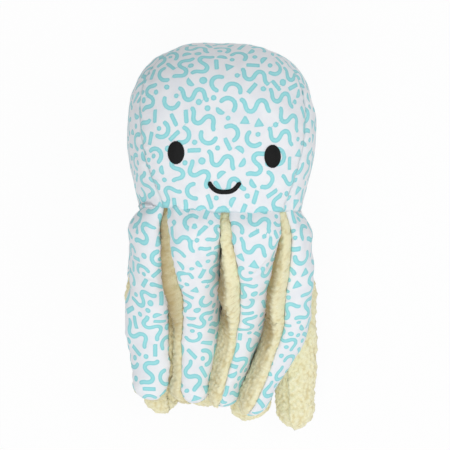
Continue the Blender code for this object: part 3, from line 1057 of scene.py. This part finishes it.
@dataclass
class Head:
    """The stuffed head: four printed panels that meet at the crown."""

    neck: Neck
    width: float = 0.141
    dome_share: float = 0.56
    dome_squareness: float = 2.65
    chin_curve: float = 1.8
    face_shift: float = 0.0025
    lean: float = 0.11
    lean_start: float = 0.55
    lean_run: float = 0.34
    lean_limit: float = 0.0010
    room: float = 0.0013
    front_seam: float = 46.0
    seam_lean: float = 15.0
    cloth: float = 0.0016
    step: float = 0.00135
    columns: int = 88
    sewing: Sewing = Sewing(
        depth=0.0012,
        width=0.0055,
        ring_roll=0.0010,
        ring_width=0.0022,
        pucker=0.00036,
        pucker_length=0.0105,
        pucker_reach=0.007,
        phase_wander=3.6,
        phase_side=1.3,
        narrow=2.5,
        neck_growth=1.5,
    )
    neck_overlap: float = 0.0031
    overlap_reach: float = 0.002
    unevenness: float = 0.0009
    gather: float = 0.0007
    gather_reach: float = 0.009
    fill: float = 0.85
    sides: tuple = ("front", "right", "back", "left")
    cuts: tuple = (
        Cut(0.031, 0.012, 0.0),
        Cut(0.118, 0.087, 1.2),
        Cut(0.067, 0.143, 2.9),
        Cut(0.009, 0.054, 4.4),
    )
    creases: tuple = (
        Crease(0.001, 0.006, 0.017, 1.5, 0.0008, 0.0016),
        Crease(-0.036, 0.02, 0.02, 0.5, 0.0005, 0.002),
        Crease(0.037, 0.018, 0.018, -0.5, 0.0005, 0.002),
    )

    def halves(self, share: float) -> tuple[float, float]:
        """Half the head's width and depth at this share of its height above the neck."""
        start = 1 - self.dome_share
        half_width, half_depth = self.width / 2, self.neck.head_depth / 2
        if share > start:
            up = min(1.0, (share - start) / self.dome_share)
            scale = (1 - up**self.dome_squareness) ** (1 / self.dome_squareness)
            return half_width * scale, half_depth * scale
        down = ((start - share) / start) ** self.chin_curve
        width = half_width + (self.neck.half_width - half_width) * down
        return width, half_depth + (self.neck.half_depth - half_depth) * down

    def shares(self) -> np.ndarray:
        """Heights of the rows, even along the skin from the neck to the crown."""
        start = 1 - self.dome_share
        chin = np.linspace(0, start, 2000)[:-1]
        turns = np.linspace(0, math.pi / 2, 4000)
        dome = start + self.dome_share * np.sin(turns) ** (2 / self.dome_squareness)
        heights = np.concatenate((chin, dome))
        heights[-1] = 1.0
        sides = np.array([self.halves(share)[1] for share in heights])
        steps = np.hypot(np.diff(heights * self.neck.head_height), np.diff(sides))
        walked = np.concatenate(((0.0,), np.cumsum(steps)))
        count = int(walked[-1] / self.step)
        return np.interp(np.linspace(0, walked[-1], count + 1), walked, heights)

    def angles(self, share: float) -> np.ndarray:
        """Angles of one row's columns, with a column on each seam."""
        front = math.radians(self.front_seam + self.seam_lean * share)
        turn, half = self.face_shift / (self.width / 2), math.pi
        seams = np.array((-front, front, half - front, half + front, 2 * half - front)) + turn
        spans = [np.linspace(a, b, self.columns, endpoint=False) for a, b in zip(seams, seams[1:])]
        return np.concatenate(spans)

    def grid(self) -> np.ndarray:
        """The head's skin as rows of points, pressed flat where it rests."""
        rows = []
        power = self.neck.squareness
        for share in self.shares():
            width, depth = self.halves(share)
            angles = self.angles(share)
            side, front = np.sin(angles), np.cos(angles)
            if width < 1e-6:
                radius = np.zeros_like(angles)
            else:
                outline = np.abs(side / width) ** power + np.abs(front / depth) ** power
                radius = outline ** (-1 / power)
            lean = self.lean * smooth((share - self.lean_start) / self.lean_run)
            across = side * radius
            across = across - np.minimum(lean * np.maximum(across, 0.0), self.lean_limit)
            height = np.maximum(0.0, self.neck.axis_z + front * radius)
            length = np.full_like(angles, self.neck.y + self.neck.head_height * share)
            rows.append(np.stack((across, length, height), 1))
        return np.array(rows)

    def build(self, bolt: PrintBolt, material: bpy.types.Material) -> list[bpy.types.Object]:
        """Make the four printed panels.

        Args:
            bolt: The printed cloth.
            material: Its finish.

        Returns:
            The panels' objects.
        """
        points = self.grid()
        normals = grid_normals(points, points.mean(1))
        made = []
        for index, side in enumerate(self.sides):
            first = index * self.columns
            chosen = np.arange(first, first + self.columns + 1) % points.shape[1]
            panel = points[:, chosen]
            u, v = cloth_places(panel)
            relief, groove = self.relief(panel, u, v, index)
            moved = panel + normals[:, chosen] * over_filling(relief, self.room)[..., None]
            moved[..., 2] = np.maximum(moved[..., 2], 0.0)
            overlap = self.neck_overlap * np.exp(-v / self.overlap_reach)
            moved[..., 1] += NeckWave().shift(moved, self.neck) - overlap
            piece = ClothPiece(f"head_{side}_skin", moved, u, v, groove, np.zeros_like(u))
            skin = piece.build()
            print_on(skin, bolt, self.cuts[index])
            skin.data.materials.append(material)
            thicken(skin, self.cloth)
            declare(skin, f"head_{side}_panel")
            made.append(skin)
        return made

    def relief(self, panel: np.ndarray, u: np.ndarray, v: np.ndarray, index: int) -> tuple:
        """Unevenness, seams, puckers and gathers of one panel.

        Args:
            panel: The panel's points.
            u: Places across the panel.
            v: Places along it.
            index: Which panel this is.

        Returns:
            The outward offset, and how deep each point lies in a groove.
        """
        relief, groove = self.sewing.relief(u, v, 70 + index)
        relief += self.unevenness * Noise(11, size=0.055).at(panel)
        relief += 0.25 * self.unevenness * Noise(12, size=0.016).at(panel)
        gather = Noise(33, size=0.008, waves=7, spread=0.35).at(np.stack((u, v * 0.15), -1))
        relief += self.gather * gather * np.exp(-v / self.gather_reach)
        if index == 0:
            for crease in self.creases:
                relief += crease.relief(u, v)
        return relief, groove


def cloth_places(panel: np.ndarray) -> tuple[np.ndarray, np.ndarray]:
    """Measure a panel flat.

    Args:
        panel: Rows of points.

    Returns:
        Places across from the middle column, and along from the first row, in metres.
    """
    steps = np.linalg.norm(np.diff(panel, axis=1), axis=2)
    across = np.concatenate((np.zeros((len(panel), 1)), np.cumsum(steps, 1)), 1)
    middle = panel.shape[1] // 2
    across = across - across[:, middle : middle + 1]
    rises = np.linalg.norm(np.diff(panel[:, middle], axis=0), axis=1)
    along = np.concatenate(((0.0,), np.cumsum(rises)))
    return across, np.repeat(along[:, None], panel.shape[1], 1)


def print_on(skin: bpy.types.Object, bolt: PrintBolt, cut: Cut) -> None:
    """Store the distance to the nearest printed shape at each point."""
    mesh = skin.data
    u, v = read_attribute(mesh, "cloth_u"), read_attribute(mesh, "cloth_v")
    write_attribute(mesh, "ink_distance", bolt.distance(*cut.place(u, v)))


# The face


@dataclass
class Face:
    """Two eyes and a smile in satin stitch."""

    head: Head
    skin: bpy.types.Object
    eye_width: float = 0.0118
    eye_height: float = 0.0163
    eye_spacing: float = 0.0697
    eye_above_neck: float = 0.0382
    eye_tilt: float = 0.0026
    mouth_width: float = 0.0208
    mouth_drop: float = 0.0056
    mouth_stroke: float = 0.0036
    mouth_above_neck: float = 0.0112
    mouth_curve: float = 3.0
    thread: float = 0.00042
    sides: int = 7
    padding: float = 0.0010
    lift: float = 0.0004
    eye_pitch: float = 1.25
    mouth_pitch: float = 1.1
    mouth_slant: float = 0.35
    mouth_blunt: float = 0.12

    @cached_property
    def surface(self) -> BVHTree:
        """The front panel's cloth as it lies over the stuffing."""
        return BVHTree.FromObject(self.skin, bpy.context.evaluated_depsgraph_get())

    def front_point(self, x: float, above_neck: float, lift: float) -> Vector:
        """A point off the head's front at a place seen from the front.

        Args:
            x: The place across.
            above_neck: The height above the neck.
            lift: The distance from the cloth.

        Returns:
            The point.
        """
        above = Vector((x, self.head.neck.y + above_neck, 1.0))
        return self.surface.ray_cast(above, Vector((0, 0, -1)))[0] + Vector((0, 0, lift))

    def crossing(self, across: float, padding: float) -> float:
        """How high a thread lies at a share of its half length, over the padding."""
        return self.lift + padding * math.sqrt(max(0.0, 1 - across**2)) - self.thread

    def eye_threads(self, side: int) -> list[list[Vector]]:
        """Threads across one eye, from its foot to its top.

        Args:
            side: -1 for the left eye and 1 for the right.

        Returns:
            One list of points for each thread.
        """
        centre_x = self.head.face_shift + side * self.eye_spacing / 2
        centre_y = self.eye_above_neck - side * self.eye_tilt / 2
        count = int(self.eye_height / (self.thread * self.eye_pitch))
        threads = []
        for i in range(count):
            up = (i + 0.5) / count * 2 - 1
            narrowed = math.sqrt(1 - up**2)
            y = centre_y + up * self.eye_height / 2
            points = []
            for k in range(11):
                across = k / 5 - 1
                x = centre_x + across * self.eye_width / 2 * narrowed
                lift = self.crossing(across, self.padding * narrowed)
                points.append(self.front_point(x, y, lift))
            threads.append(points)
        return threads

    def mouth_threads(self) -> list[list[Vector]]:
        """Threads laid slantwise across the smile, from one corner to the other."""
        half, power = self.mouth_width / 2, self.mouth_curve
        reach = self.mouth_stroke / 2 - self.thread
        places = np.linspace(-1, 1, 400)
        rises = self.mouth_drop * np.abs(places) ** power
        steps = np.hypot(np.diff(places * half), np.diff(rises))
        walked = np.concatenate(((0.0,), np.cumsum(steps)))
        total = walked[-1] + 2 * reach
        count = int(total / (self.thread * self.mouth_pitch))
        threads = []
        for i in range(count + 1):
            place = total * i / count - reach
            inside = min(max(place, 0.0), walked[-1])
            beyond = place - inside
            at = float(np.interp(inside, walked, places))
            rise = power * self.mouth_drop * abs(at) ** (power - 1) / half
            slope = math.copysign(math.atan(rise), at)
            stroke = reach * math.sqrt(max(self.mouth_blunt, 1 - (beyond / reach) ** 2))
            middle_x = self.head.face_shift + half * at
            middle_y = self.mouth_above_neck + self.mouth_drop * abs(at) ** power
            points = []
            for k in range(9):
                across = k / 4 - 1
                along = beyond + across * self.mouth_slant * stroke
                x = middle_x + along * math.cos(slope) + across * stroke * math.sin(slope)
                y = middle_y + along * math.sin(slope) - across * stroke * math.cos(slope)
                points.append(self.front_point(x, y, self.crossing(across, self.padding)))
            threads.append(points)
        return threads

    def stitch(self, node: str, threads: list, material: bpy.types.Material) -> None:
        """Turn lines into threads with Geometry Nodes.

        Args:
            node: The CAD node that the threads stand for.
            threads: Lists of points.
            material: The thread's finish.
        """
        lines = bmesh.new()
        for points in threads:
            verts = [lines.verts.new(point) for point in points]
            for first, second in zip(verts, verts[1:]):
                lines.edges.new((first, second))
        made = mesh_object(f"{node}_stitches", lines)
        tree = Tree("satin_stitch")
        radius = tree.ask("Thread Radius", "float", self.thread)
        sides = tree.ask("Thread Sides", "int", self.sides)
        curves = tree.node("GeometryNodeMeshToCurve", Mesh=tree.entry.outputs["Geometry"])
        circle = tree.node("GeometryNodeCurvePrimitiveCircle", Resolution=sides, Radius=radius)
        tube = tree.node(
            "GeometryNodeCurveToMesh",
            Curve=curves.outputs[0],
            Profile_Curve=circle.outputs[0],
            Fill_Caps=True,
        )
        rounded = tree.node("GeometryNodeSetShadeSmooth", Geometry=tube.outputs[0])
        tree.finish(rounded.outputs[0], material)
        tree.apply(made)
        declare(made, node)

    def build(self, material: bpy.types.Material) -> None:
        """Stitch the eyes and the mouth."""
        self.stitch("eye_left", self.eye_threads(-1), material)
        self.stitch("eye_right", self.eye_threads(1), material)
        self.stitch("mouth", self.mouth_threads(), material)


# The arms


class Layer(Enum):
    """Which layer of the pile an arm comes to rest in."""

    LOWER = 0
    UPPER = 1


@dataclass(frozen=True)
class ArmPath:
    """One arm's place on the neck ring and its way down the pile, as in the part's source."""

    name: str
    ring_place: float
    lane: float
    layer: Layer
    reach: float
    tip_sway: float
    settle: float
    turned: float
    rest_facing: float
    tip_facing: float
    bulge: float
    waist: float
    flatness: float
    cut: Cut
    creases: tuple = ()
    left_wander: tuple = ()
    right_wander: tuple = ()
    # Where the crevice's painted shade starts, measured from the seam.
    crevice_shade_start: float = 0.0018


@dataclass(frozen=True)
class Station:
    """The arm's cross-section at one place: its middle, directions and half sizes."""

    centre: np.ndarray
    outward: np.ndarray
    across: np.ndarray
    width: float
    thickness: float
    wedge: float


@dataclass(frozen=True)
class Pile:
    """How far the fleece stands off its cloth, and how far each part runs, in metres."""

    plain: float = 0.0012
    root: float = 0.0035
    root_run: float = 0.075
    root_reach: float = 0.016
    packed: float = 0.0064
    packed_place: float = 0.06
    packed_run: float = 0.036
    packed_reach: float = 0.004
    outer: float = -0.0010
    tuft: float = 0.0030
    tuft_run: float = 0.009
    seam_reach: float = 0.003

    def height(self, u: np.ndarray, v: np.ndarray, path: ArmPath) -> np.ndarray:
        """Height of the pile: more where it packs the gaps between arms.

        Args:
            u: Places across the fleece side.
            v: Places along it.
            path: The arm's path.

        Returns:
            The outward offset.
        """
        from_seam = seam_distance(u)
        pile = self.plain + (
            self.root * soft_bell(v, self.root_run) * np.exp(-from_seam / self.root_reach)
        )
        packed = soft_bell(v - self.packed_place, self.packed_run)
        packed = packed * smooth(-u / self.packed_reach)
        pile += self.packed * packed * (path.layer is Layer.UPPER)
        outer = (u * path.lane > 0) & (abs(path.lane) > 1)
        pile = np.where(outer, self.outer, pile)
        pile += self.tuft * soft_bell(v, self.tuft_run)
        return pile * smooth(from_seam / self.seam_reach)


@dataclass
class Arm:
    """A stuffed arm with a printed front and a fleece back."""

    neck: Neck
    path: ArmPath
    thickness: float = 0.029
    full_reach: float = 0.155
    root_wedge: float = 0.16
    wedge_run: float = 0.35
    slim_width: float = 0.17
    slim_start: float = 0.6
    slim_run: float = 0.36
    shoulder_spread: float = 0.11
    spread_end: float = 0.5
    spread_run: float = 0.4
    swell_share: float = 0.11
    tip_round: float = 0.4
    waist_place: float = 0.38
    waist_run: float = 0.1
    sway_start: float = 0.5
    sway_power: float = 1.25
    fall_start: float = 0.04
    fit_gap: float = 0.0004
    lane_gap: float = 0.0013
    layer_gap: float = 0.0008
    print_cloth: float = 0.0016
    fleece_cloth: float = 0.0022
    half_span: float = math.radians(82)
    step: float = 0.00106
    print_columns: int = 38
    fleece_columns: int = 84
    sewing: Sewing = Sewing(
        depth=0.0016,
        width=0.0034,
        ring_roll=0.0010,
        ring_width=0.0026,
        pucker=0.0005,
        pucker_length=0.0085,
        pucker_reach=0.005,
        phase_wander=2.5,
        phase_side=1.0,
        narrow=2.2,
    )
    pile: Pile = Pile()
    unevenness: float = 0.0008
    gather: float = 0.0011
    gather_reach: float = 0.012
    wrinkle_share: float = 0.35
    root_calm: float = 0.01
    room: float = 0.0017
    fleece_room: float = 0.0026
    root_tuck: float = 0.0014
    fleece_tuck: float = 0.0040
    tuck_reach: float = 0.004
    # How the crevice's painted shade grows from the seam and fades towards the tip.
    crevice_shade_run: float = 0.0048
    crevice_shade_fade: float = 0.7
    fade_start: float = 0.55
    fade_run: float = 0.35
    fill: float = 0.75

    def sizes(self, share: float) -> tuple[float, float]:
        """Half the arm's width and thickness at this share of its length."""
        swell = smooth(share / self.swell_share)
        slim = smooth((share - self.slim_start) / self.slim_run)
        spread = 1 + self.shoulder_spread * smooth((self.spread_end - share) / self.spread_run)
        width = self.neck.arm_width / 2 * (1 - self.slim_width * slim) * spread
        root = self.neck.root_thickness
        thickness = (root + (self.thickness - root) * swell) / 2
        thickness *= 1 - self.path.flatness * slim
        start = self.tip_start
        if share > start:
            narrowed = math.sqrt(1 - min(1.0, (share - start) / (1 - start)) ** 2)
            width *= narrowed
            thickness *= narrowed
        return width, thickness

    @property
    def tip_start(self) -> float:
        """Where the rounded tip starts."""
        return 1 - self.tip_round * self.neck.arm_width / self.full_reach

    @cached_property
    def root(self) -> tuple[float, float, float]:
        """The middle of the arm's root and the way it faces, in degrees."""
        neck = self.neck
        steps = 720
        angles = [2 * math.pi * i / steps for i in range(steps + 1)]
        outline = [neck.outline(angle) for angle in angles]
        lengths = [math.dist(a, b) for a, b in zip(outline, outline[1:])]
        target = sum(lengths) * ((self.path.ring_place / neck.arm_count) % 1)
        walked = np.cumsum(lengths)
        angle = angles[int(np.argmax(walked > target))]
        x, z = neck.outline(angle)
        power = neck.squareness - 1
        out_x = math.copysign(abs(x / neck.half_width) ** power / neck.half_width, x)
        out_z = math.copysign(abs(z / neck.half_depth) ** power / neck.half_depth, z)
        facing = math.atan2(out_x, out_z)
        x -= math.sin(facing) * neck.root_thickness / 2
        z -= math.cos(facing) * neck.root_thickness / 2
        facing = math.degrees(facing)
        while facing < self.path.rest_facing - 180:
            facing += 360
        return x, z, facing

    def facing(self, share: float) -> float:
        """The print side's angle at this share of the arm's length."""
        path = self.path
        angle = self.root[2]
        angle += (path.rest_facing - angle) * smooth(share / path.turned)
        settled = smooth((share - path.settle) / (1 - path.settle))
        return math.radians(angle + (path.tip_facing - path.rest_facing) * settled)

    def centre(self, share: float) -> np.ndarray:
        """The arm's centreline, from the neck ring down to its lane and layer."""
        path = self.path
        root_x, root_z, facing = self.root
        facing = math.radians(facing)
        bulge = path.bulge * smooth(share / self.swell_share)
        root_x += bulge * math.sin(facing)
        root_z += self.neck.axis_z + bulge * math.cos(facing)
        width, thickness = self.sizes(min(share, 0.9))
        angle = self.facing(share)
        half_height = math.hypot(width * math.sin(angle), thickness * math.cos(angle))
        rest_z = path.layer.value * (self.thickness + self.layer_gap) + half_height
        swayed = max(0.0, (share - self.sway_start) / (1 - self.sway_start)) ** self.sway_power
        waist = path.waist * soft_bell(share - self.waist_place, self.waist_run)
        sway = (path.tip_sway * swayed + waist) * self.neck.arm_width
        pitch = max(self.neck.arm_width, self.thickness) + self.lane_gap
        rest_x = path.lane * pitch + sway
        fall = smooth((share - self.fall_start) / path.settle)
        y = self.neck.y - 3 * self.fit_gap - share * path.reach * self.full_reach
        return np.array((root_x + (rest_x - root_x) * fall, y, root_z + (rest_z - root_z) * fall))

    def station(self, share: float) -> Station:
        """The cross-section at this share of the arm's length."""
        step = 0.01
        along = self.centre(min(1.0, share + step)) - self.centre(max(0.0, share - step))
        along /= np.linalg.norm(along)
        if share < step:
            along = np.array((0.0, -1.0, 0.0))
        facing = self.facing(share)
        outward = np.array((math.sin(facing), 0.0, math.cos(facing)))
        outward -= along * outward.dot(along)
        outward /= np.linalg.norm(outward)
        width, thickness = self.sizes(share)
        wedge = self.root_wedge * (1 - smooth(share / self.wedge_run))
        across = np.cross(along, outward)
        return Station(self.centre(share), outward, across, width, thickness, wedge)

    def shares(self) -> np.ndarray:
        """Places of the rows, even along the skin from the root to the tip."""
        count = int(self.tip_start * self.full_reach * self.path.reach / self.step)
        body = np.linspace(0, self.tip_start, count, endpoint=False)
        tip = self.tip_round * self.neck.arm_width
        turns = max(8, int(tip * math.pi / 2 / self.step))
        rounds = np.sin(np.linspace(0, math.pi / 2, turns, endpoint=False))
        rounded = self.tip_start + (1 - self.tip_start) * rounds
        return np.concatenate((body, rounded, (1.0,)))

    def seam_angle(self, share: float, wander: tuple) -> float:
        """The angle from the middle of the print side to one of its seams.

        Args:
            share: The place along the arm.
            wander: How many degrees the seam strays, at which share and over which run.

        Returns:
            The angle in radians.
        """
        strayed = sum(angle * soft_bell(share - place, run) for angle, place, run in wander)
        return self.half_span + math.radians(strayed)

    @cached_property
    def grid(self) -> tuple[np.ndarray, np.ndarray]:
        """The arm's skin as closed rows of points, and the middle of each row."""
        rows, middles = [], []
        for share in self.shares():
            left = self.seam_angle(share, self.path.left_wander)
            right = self.seam_angle(share, self.path.right_wander)
            printed = np.linspace(-right, left, self.print_columns, endpoint=False)
            fleece = np.linspace(left, 2 * math.pi - right, self.fleece_columns, endpoint=False)
            angles = np.concatenate((printed, fleece))
            at = self.station(share)
            wedge = 1 + at.wedge * np.cos(angles)
            outward = at.outward[None, :] * (at.thickness * np.cos(angles))[:, None]
            across = at.across[None, :] * (at.width * wedge * np.sin(angles))[:, None]
            rows.append(at.centre + outward + across)
            middles.append(at.centre)
        return np.array(rows), np.array(middles)

    def relief(self, panel: np.ndarray, u: np.ndarray, v: np.ndarray, printed: bool) -> tuple:
        """Unevenness, seams, puckers, and folds or pile of one side.

        Args:
            panel: The side's points.
            u: Places across it.
            v: Places along it.
            printed: Whether this is the print side.

        Returns:
            The outward offset, and how deep each point lies in a groove.
        """
        seed = 100 + int(self.path.name[-1])
        relief, groove = self.sewing.relief(u, v, seed)
        calm = smooth(v / self.root_calm)
        relief += self.unevenness * Noise(seed + 20, size=0.03).at(panel) * calm
        if not printed:
            return relief + self.pile.height(u, v, self.path), groove
        gather = Noise(seed + 40, size=0.0085, waves=7, spread=0.35)
        gather = gather.at(np.stack((u, v * 0.12), -1))
        relief += self.gather * gather * np.exp(-v / self.gather_reach)
        wrinkle = Noise(seed + 60, size=0.012, waves=9, spread=0.4)
        wrinkle = wrinkle.at(np.stack((u * 0.6, v), -1))
        relief += self.wrinkle_share * self.unevenness * wrinkle * calm
        for crease in self.path.creases:
            relief += crease.relief(u, v)
        return relief, groove

    def build(
        self, bolt: PrintBolt, printed: bpy.types.Material, fleece: bpy.types.Material
    ) -> None:
        """Make the printed side and the fleece side.

        Args:
            bolt: The printed cloth.
            printed: Its finish.
            fleece: The fleece's finish.
        """
        name = self.path.name
        front, back = self.side(f"{name}_print_skin", True), self.side(f"{name}_fleece_skin", False)
        print_on(front, bolt, self.path.cut)
        front.data.materials.append(printed)
        thicken(front, self.print_cloth)
        declare(front, f"{name}_print_panel")
        FleeceCurls().apply(back, fleece)
        thicken(back, self.fleece_cloth)
        rest_on_floor(back)
        declare(back, f"{name}_fleece_panel")

    def side(self, name: str, printed: bool) -> bpy.types.Object:
        """Make one side's open cloth.

        Args:
            name: The piece's name.
            printed: Whether this is the print side.

        Returns:
            The cloth's object.
        """
        points, middles = self.grid
        columns = np.arange(points.shape[1] + 1) % points.shape[1]
        chosen = columns[: self.print_columns + 1] if printed else columns[self.print_columns :]
        panel, outward = points[:, chosen], grid_normals(points, middles)[:, chosen]
        u, v = cloth_places(panel)
        relief, groove = self.relief(panel, u, v, printed)
        relief = over_filling(relief, self.room if printed else self.fleece_room)
        moved = panel + outward * relief[..., None]
        tuck = self.root_tuck if printed else self.fleece_tuck
        moved[..., 1] += NeckWave().shift(moved, self.neck) + tuck * np.exp(-v / self.tuck_reach)
        moved[-1] = moved[-1].mean(0)
        moved[..., 2] = np.maximum(moved[..., 2], 0.0)
        return ClothPiece(name, moved, u, v, groove, self.shade(u, v, printed)).build()

    def shade(self, u: np.ndarray, v: np.ndarray, printed: bool) -> np.ndarray:
        """How deep in the crevice between two arms each point lies, from 0 to 1: the share of
        painted shade on the fleece.
        """
        if printed or self.path.layer is Layer.LOWER:
            return np.zeros_like(u)
        along = v / (self.full_reach * self.path.reach)
        inside = smooth((seam_distance(u) - self.path.crevice_shade_start) / self.crevice_shade_run)
        return inside * (1 - self.crevice_shade_fade * smooth((along - self.fade_start) / self.fade_run))


ARM_PATHS = (
    ArmPath(
        "arm_1", -1.43, -1.51, Layer.UPPER, 0.93, 0.08, 0.68, 0.60, -16, -4, 0.006, 0.14, 0.12,
        Cut(0.02, 0.03, 0.6),
        (
            Crease(0.008, 0.010, 0.034, 0.0, 0.0028, 0.0100, 0.0),
            Crease(0.0145, 0.050, 0.032, 0.0, 0.0050, 0.0110, 0.0),
            Crease(0.016, 0.104, 0.040, math.pi / 2, -0.0014, 0.0090, 0.0),
            Crease(0.012, 0.046, 0.015, 0.9, 0.0021, 0.0015),
            Crease(0.010, 0.056, 0.014, 0.5, 0.0019, 0.0015),
            Crease(-0.006, 0.060, 0.018, -0.35, 0.0019, 0.0018),
        ),
        right_wander=((20, 0.15, 0.2),),
        crevice_shade_start=-0.0030,
    ),
    ArmPath(
        "arm_2", -0.42, -0.42, Layer.UPPER, 0.945, -0.26, 0.66, 0.44, 38, 48, 0.004, 0.05, 0.08,
        Cut(0.1, 0.02, 2.2),
        (
            Crease(0.010, 0.056, 0.016, 0.7, 0.0021, 0.0016),
            Crease(-0.004, 0.032, 0.014, 1.3, 0.0013, 0.0018),
        ),
        left_wander=((14, 0.42, 0.25),),
        crevice_shade_start=-0.0012,
    ),
    ArmPath(
        "arm_3", 0.57, 0.55, Layer.UPPER, 0.96, -0.63, 0.62, 0.46, 60, 86, 0.0035, 0, 0.24,
        Cut(0.05, 0.12, 3.5),
        (Crease(0.006, 0.050, 0.015, 0.6, 0.0016, 0.0018),),
        left_wander=((12, 0.42, 0.13), (-16, 0.7, 0.1)),
    ),
    ArmPath(
        "arm_4", 1.6, 1.49, Layer.UPPER, 1.0, -0.99, 0.66, 0.62, 78, 92, 0.0045, 0, 0.27,
        Cut(0.13, 0.07, 5.1),
        (
            Crease(0.0, 0.056, 0.030, math.pi / 2, -0.0016, 0.0130, 0.0),
            Crease(0.0, 0.010, 0.040, 0.0, 0.0030, 0.0100, 0.0),
        ),
        left_wander=((24, 0.45, 0.2),),
    ),
    ArmPath(
        "arm_5", 2.58, 1.52, Layer.LOWER, 1.085, 0.06, 0.44, 0.44, 160, 166, 0.003, 0, 0.14,
        Cut(0.08, 0.14, 1.0),
    ),
    ArmPath(
        "arm_6", 3.58, 0.5, Layer.LOWER, 1.04, 0.16, 0.36, 0.36, 178, 184, 0.004, 0, 0.14,
        Cut(0.03, 0.09, 4.0),
    ),
    ArmPath(
        "arm_7", -3.42, -0.5, Layer.LOWER, 0.97, 0.26, 0.36, 0.36, 182, 178, 0.004, 0, 0.14,
        Cut(0.11, 0.11, 2.7),
    ),
    ArmPath(
        "arm_8", -2.42, -1.52, Layer.LOWER, 1.0, 0.38, 0.44, 0.44, 200, 190, 0.005, 0, 0.14,
        Cut(0.06, 0.05, 5.8),
    ),
)


# Light and camera


@dataclass
class Studio:
    """A pale floor, soft lamps and a camera that looks straight down."""

    camera_place: tuple = (0.003, 0.0104, 1.667)
    lens: float = 170.7
    far: float = 20.0
    floor_size: float = 6.0
    floor_drop: float = 0.0005
    floor_colour: tuple = (0.82, 0.82, 0.82, 1)
    floor_cloud: tuple = (0.8, 0.8, 0.81, 1)
    show_through: float = 0.94
    world_strength: float = 0.56
    lamps: tuple = (
        ("key_softbox", (-0.35, -1.1, 1.5), 1.1, 13.0),
        ("fill_softbox", (0.9, 0.3, 1.3), 1.0, 6.0),
    )

    def build(self) -> None:
        """Make the camera, floor, lamps and world."""
        self.camera()
        self.floor()
        for name, place, size, power in self.lamps:
            self.lamp(name, place, size, power)
        self.world()
        bpy.context.scene.view_settings.view_transform = "Standard"

    def camera(self) -> None:
        """Place the camera above the toy."""
        camera = bpy.data.cameras.new("camera")
        camera.lens = self.lens
        camera.clip_end = self.far
        made = add_object("camera", camera)
        made.location = self.camera_place
        bpy.context.scene.camera = made

    def floor(self) -> None:
        """Lay a pale floor that shows white to the camera but keeps the toy's shadow."""
        half = self.floor_size / 2
        surface = bmesh.new()
        corners = ((-half, -half), (half, -half), (half, half), (-half, half))
        surface.faces.new([surface.verts.new((x, y, -self.floor_drop)) for x, y in corners])
        made = mesh_object("floor", surface)
        shader = Shader("studio_floor")
        colour = shader.mix(shader.noise(0.5), self.floor_colour, self.floor_cloud)
        shader.set(Base_Color=colour, Roughness=0.9)
        path = shader.node("ShaderNodeLightPath")
        seen = shader.value(path.outputs["Is Camera Ray"])
        for ray in ("Is Glossy Ray", "Is Transmission Ray"):
            seen = seen.math("MAXIMUM", shader.value(path.outputs[ray]))
        white = shader.node("ShaderNodeEmission", Strength=1.0)
        mixed = shader.node("ShaderNodeMixShader", Fac=seen * self.show_through)
        shader.feed(mixed.inputs[1], shader.surface.outputs[0])
        shader.feed(mixed.inputs[2], white.outputs[0])
        shader.feed(shader.tree.nodes["Material Output"].inputs[0], mixed.outputs[0])
        made.data.materials.append(shader.material)

    def lamp(self, name: str, place: tuple, size: float, power: float) -> None:
        """Hang a soft lamp that points at the toy.

        Args:
            name: The lamp's name.
            place: Where it hangs.
            size: Its side.
            power: Its power in watts.
        """
        lamp = bpy.data.lights.new(name, "AREA")
        lamp.shape = "SQUARE"
        lamp.size = size
        lamp.energy = power
        made = add_object(name, lamp)
        made.location = place
        made.rotation_euler = (-Vector(place)).to_track_quat("-Z", "Y").to_euler()

    def world(self) -> None:
        """Light the toy evenly from all round, on white."""
        world = bpy.data.worlds.new("studio_world")
        world.use_nodes = True
        tree = world.node_tree
        background = tree.nodes["Background"]
        background.inputs["Color"].default_value = (1, 1, 1, 1)
        path = tree.nodes.new("ShaderNodeLightPath")
        seen = Value(tree, path.outputs["Is Camera Ray"])
        strength = seen * (1 - self.world_strength) + self.world_strength
        tree.links.new(strength.socket, background.inputs["Strength"])
        bpy.context.scene.world = world


def dress_hidden() -> None:
    """Give the CAD nodes that stay inside their finishes."""
    finishes = {inside: inside.value.make() for inside in Inside}
    chosen = {"squeaker": Inside.PLASTIC, "head_base_panel": Inside.LINING}
    for name in ("head", *(path.name for path in ARM_PATHS)):
        chosen[f"{name}_filling"] = Inside.FIBRE
    for name, inside in chosen.items():
        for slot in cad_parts[name].material_slots:
            slot.material = finishes[inside]
        LOG.info("%s: %s", name, finishes[inside].name)


def main() -> None:
    """Build the studio and the toy, piece by piece."""
    logging.basicConfig(level=logging.INFO, format="%(name)s %(message)s")
    Studio().build()
    bolt = PrintBolt()
    LOG.info("print: %d shapes", len(bolt.motifs))
    printed = PrintedCotton().make()
    fleece = CurlyFleece().make()
    neck = Neck()
    head = Head(neck)
    front_skin = head.build(bolt, printed)[0]
    Face(head, front_skin).build(BlackThread().make())
    for path in ARM_PATHS:
        Arm(neck, path).build(bolt, printed, fleece)
    dress_hidden()


if __name__ == "__main__":
    main()
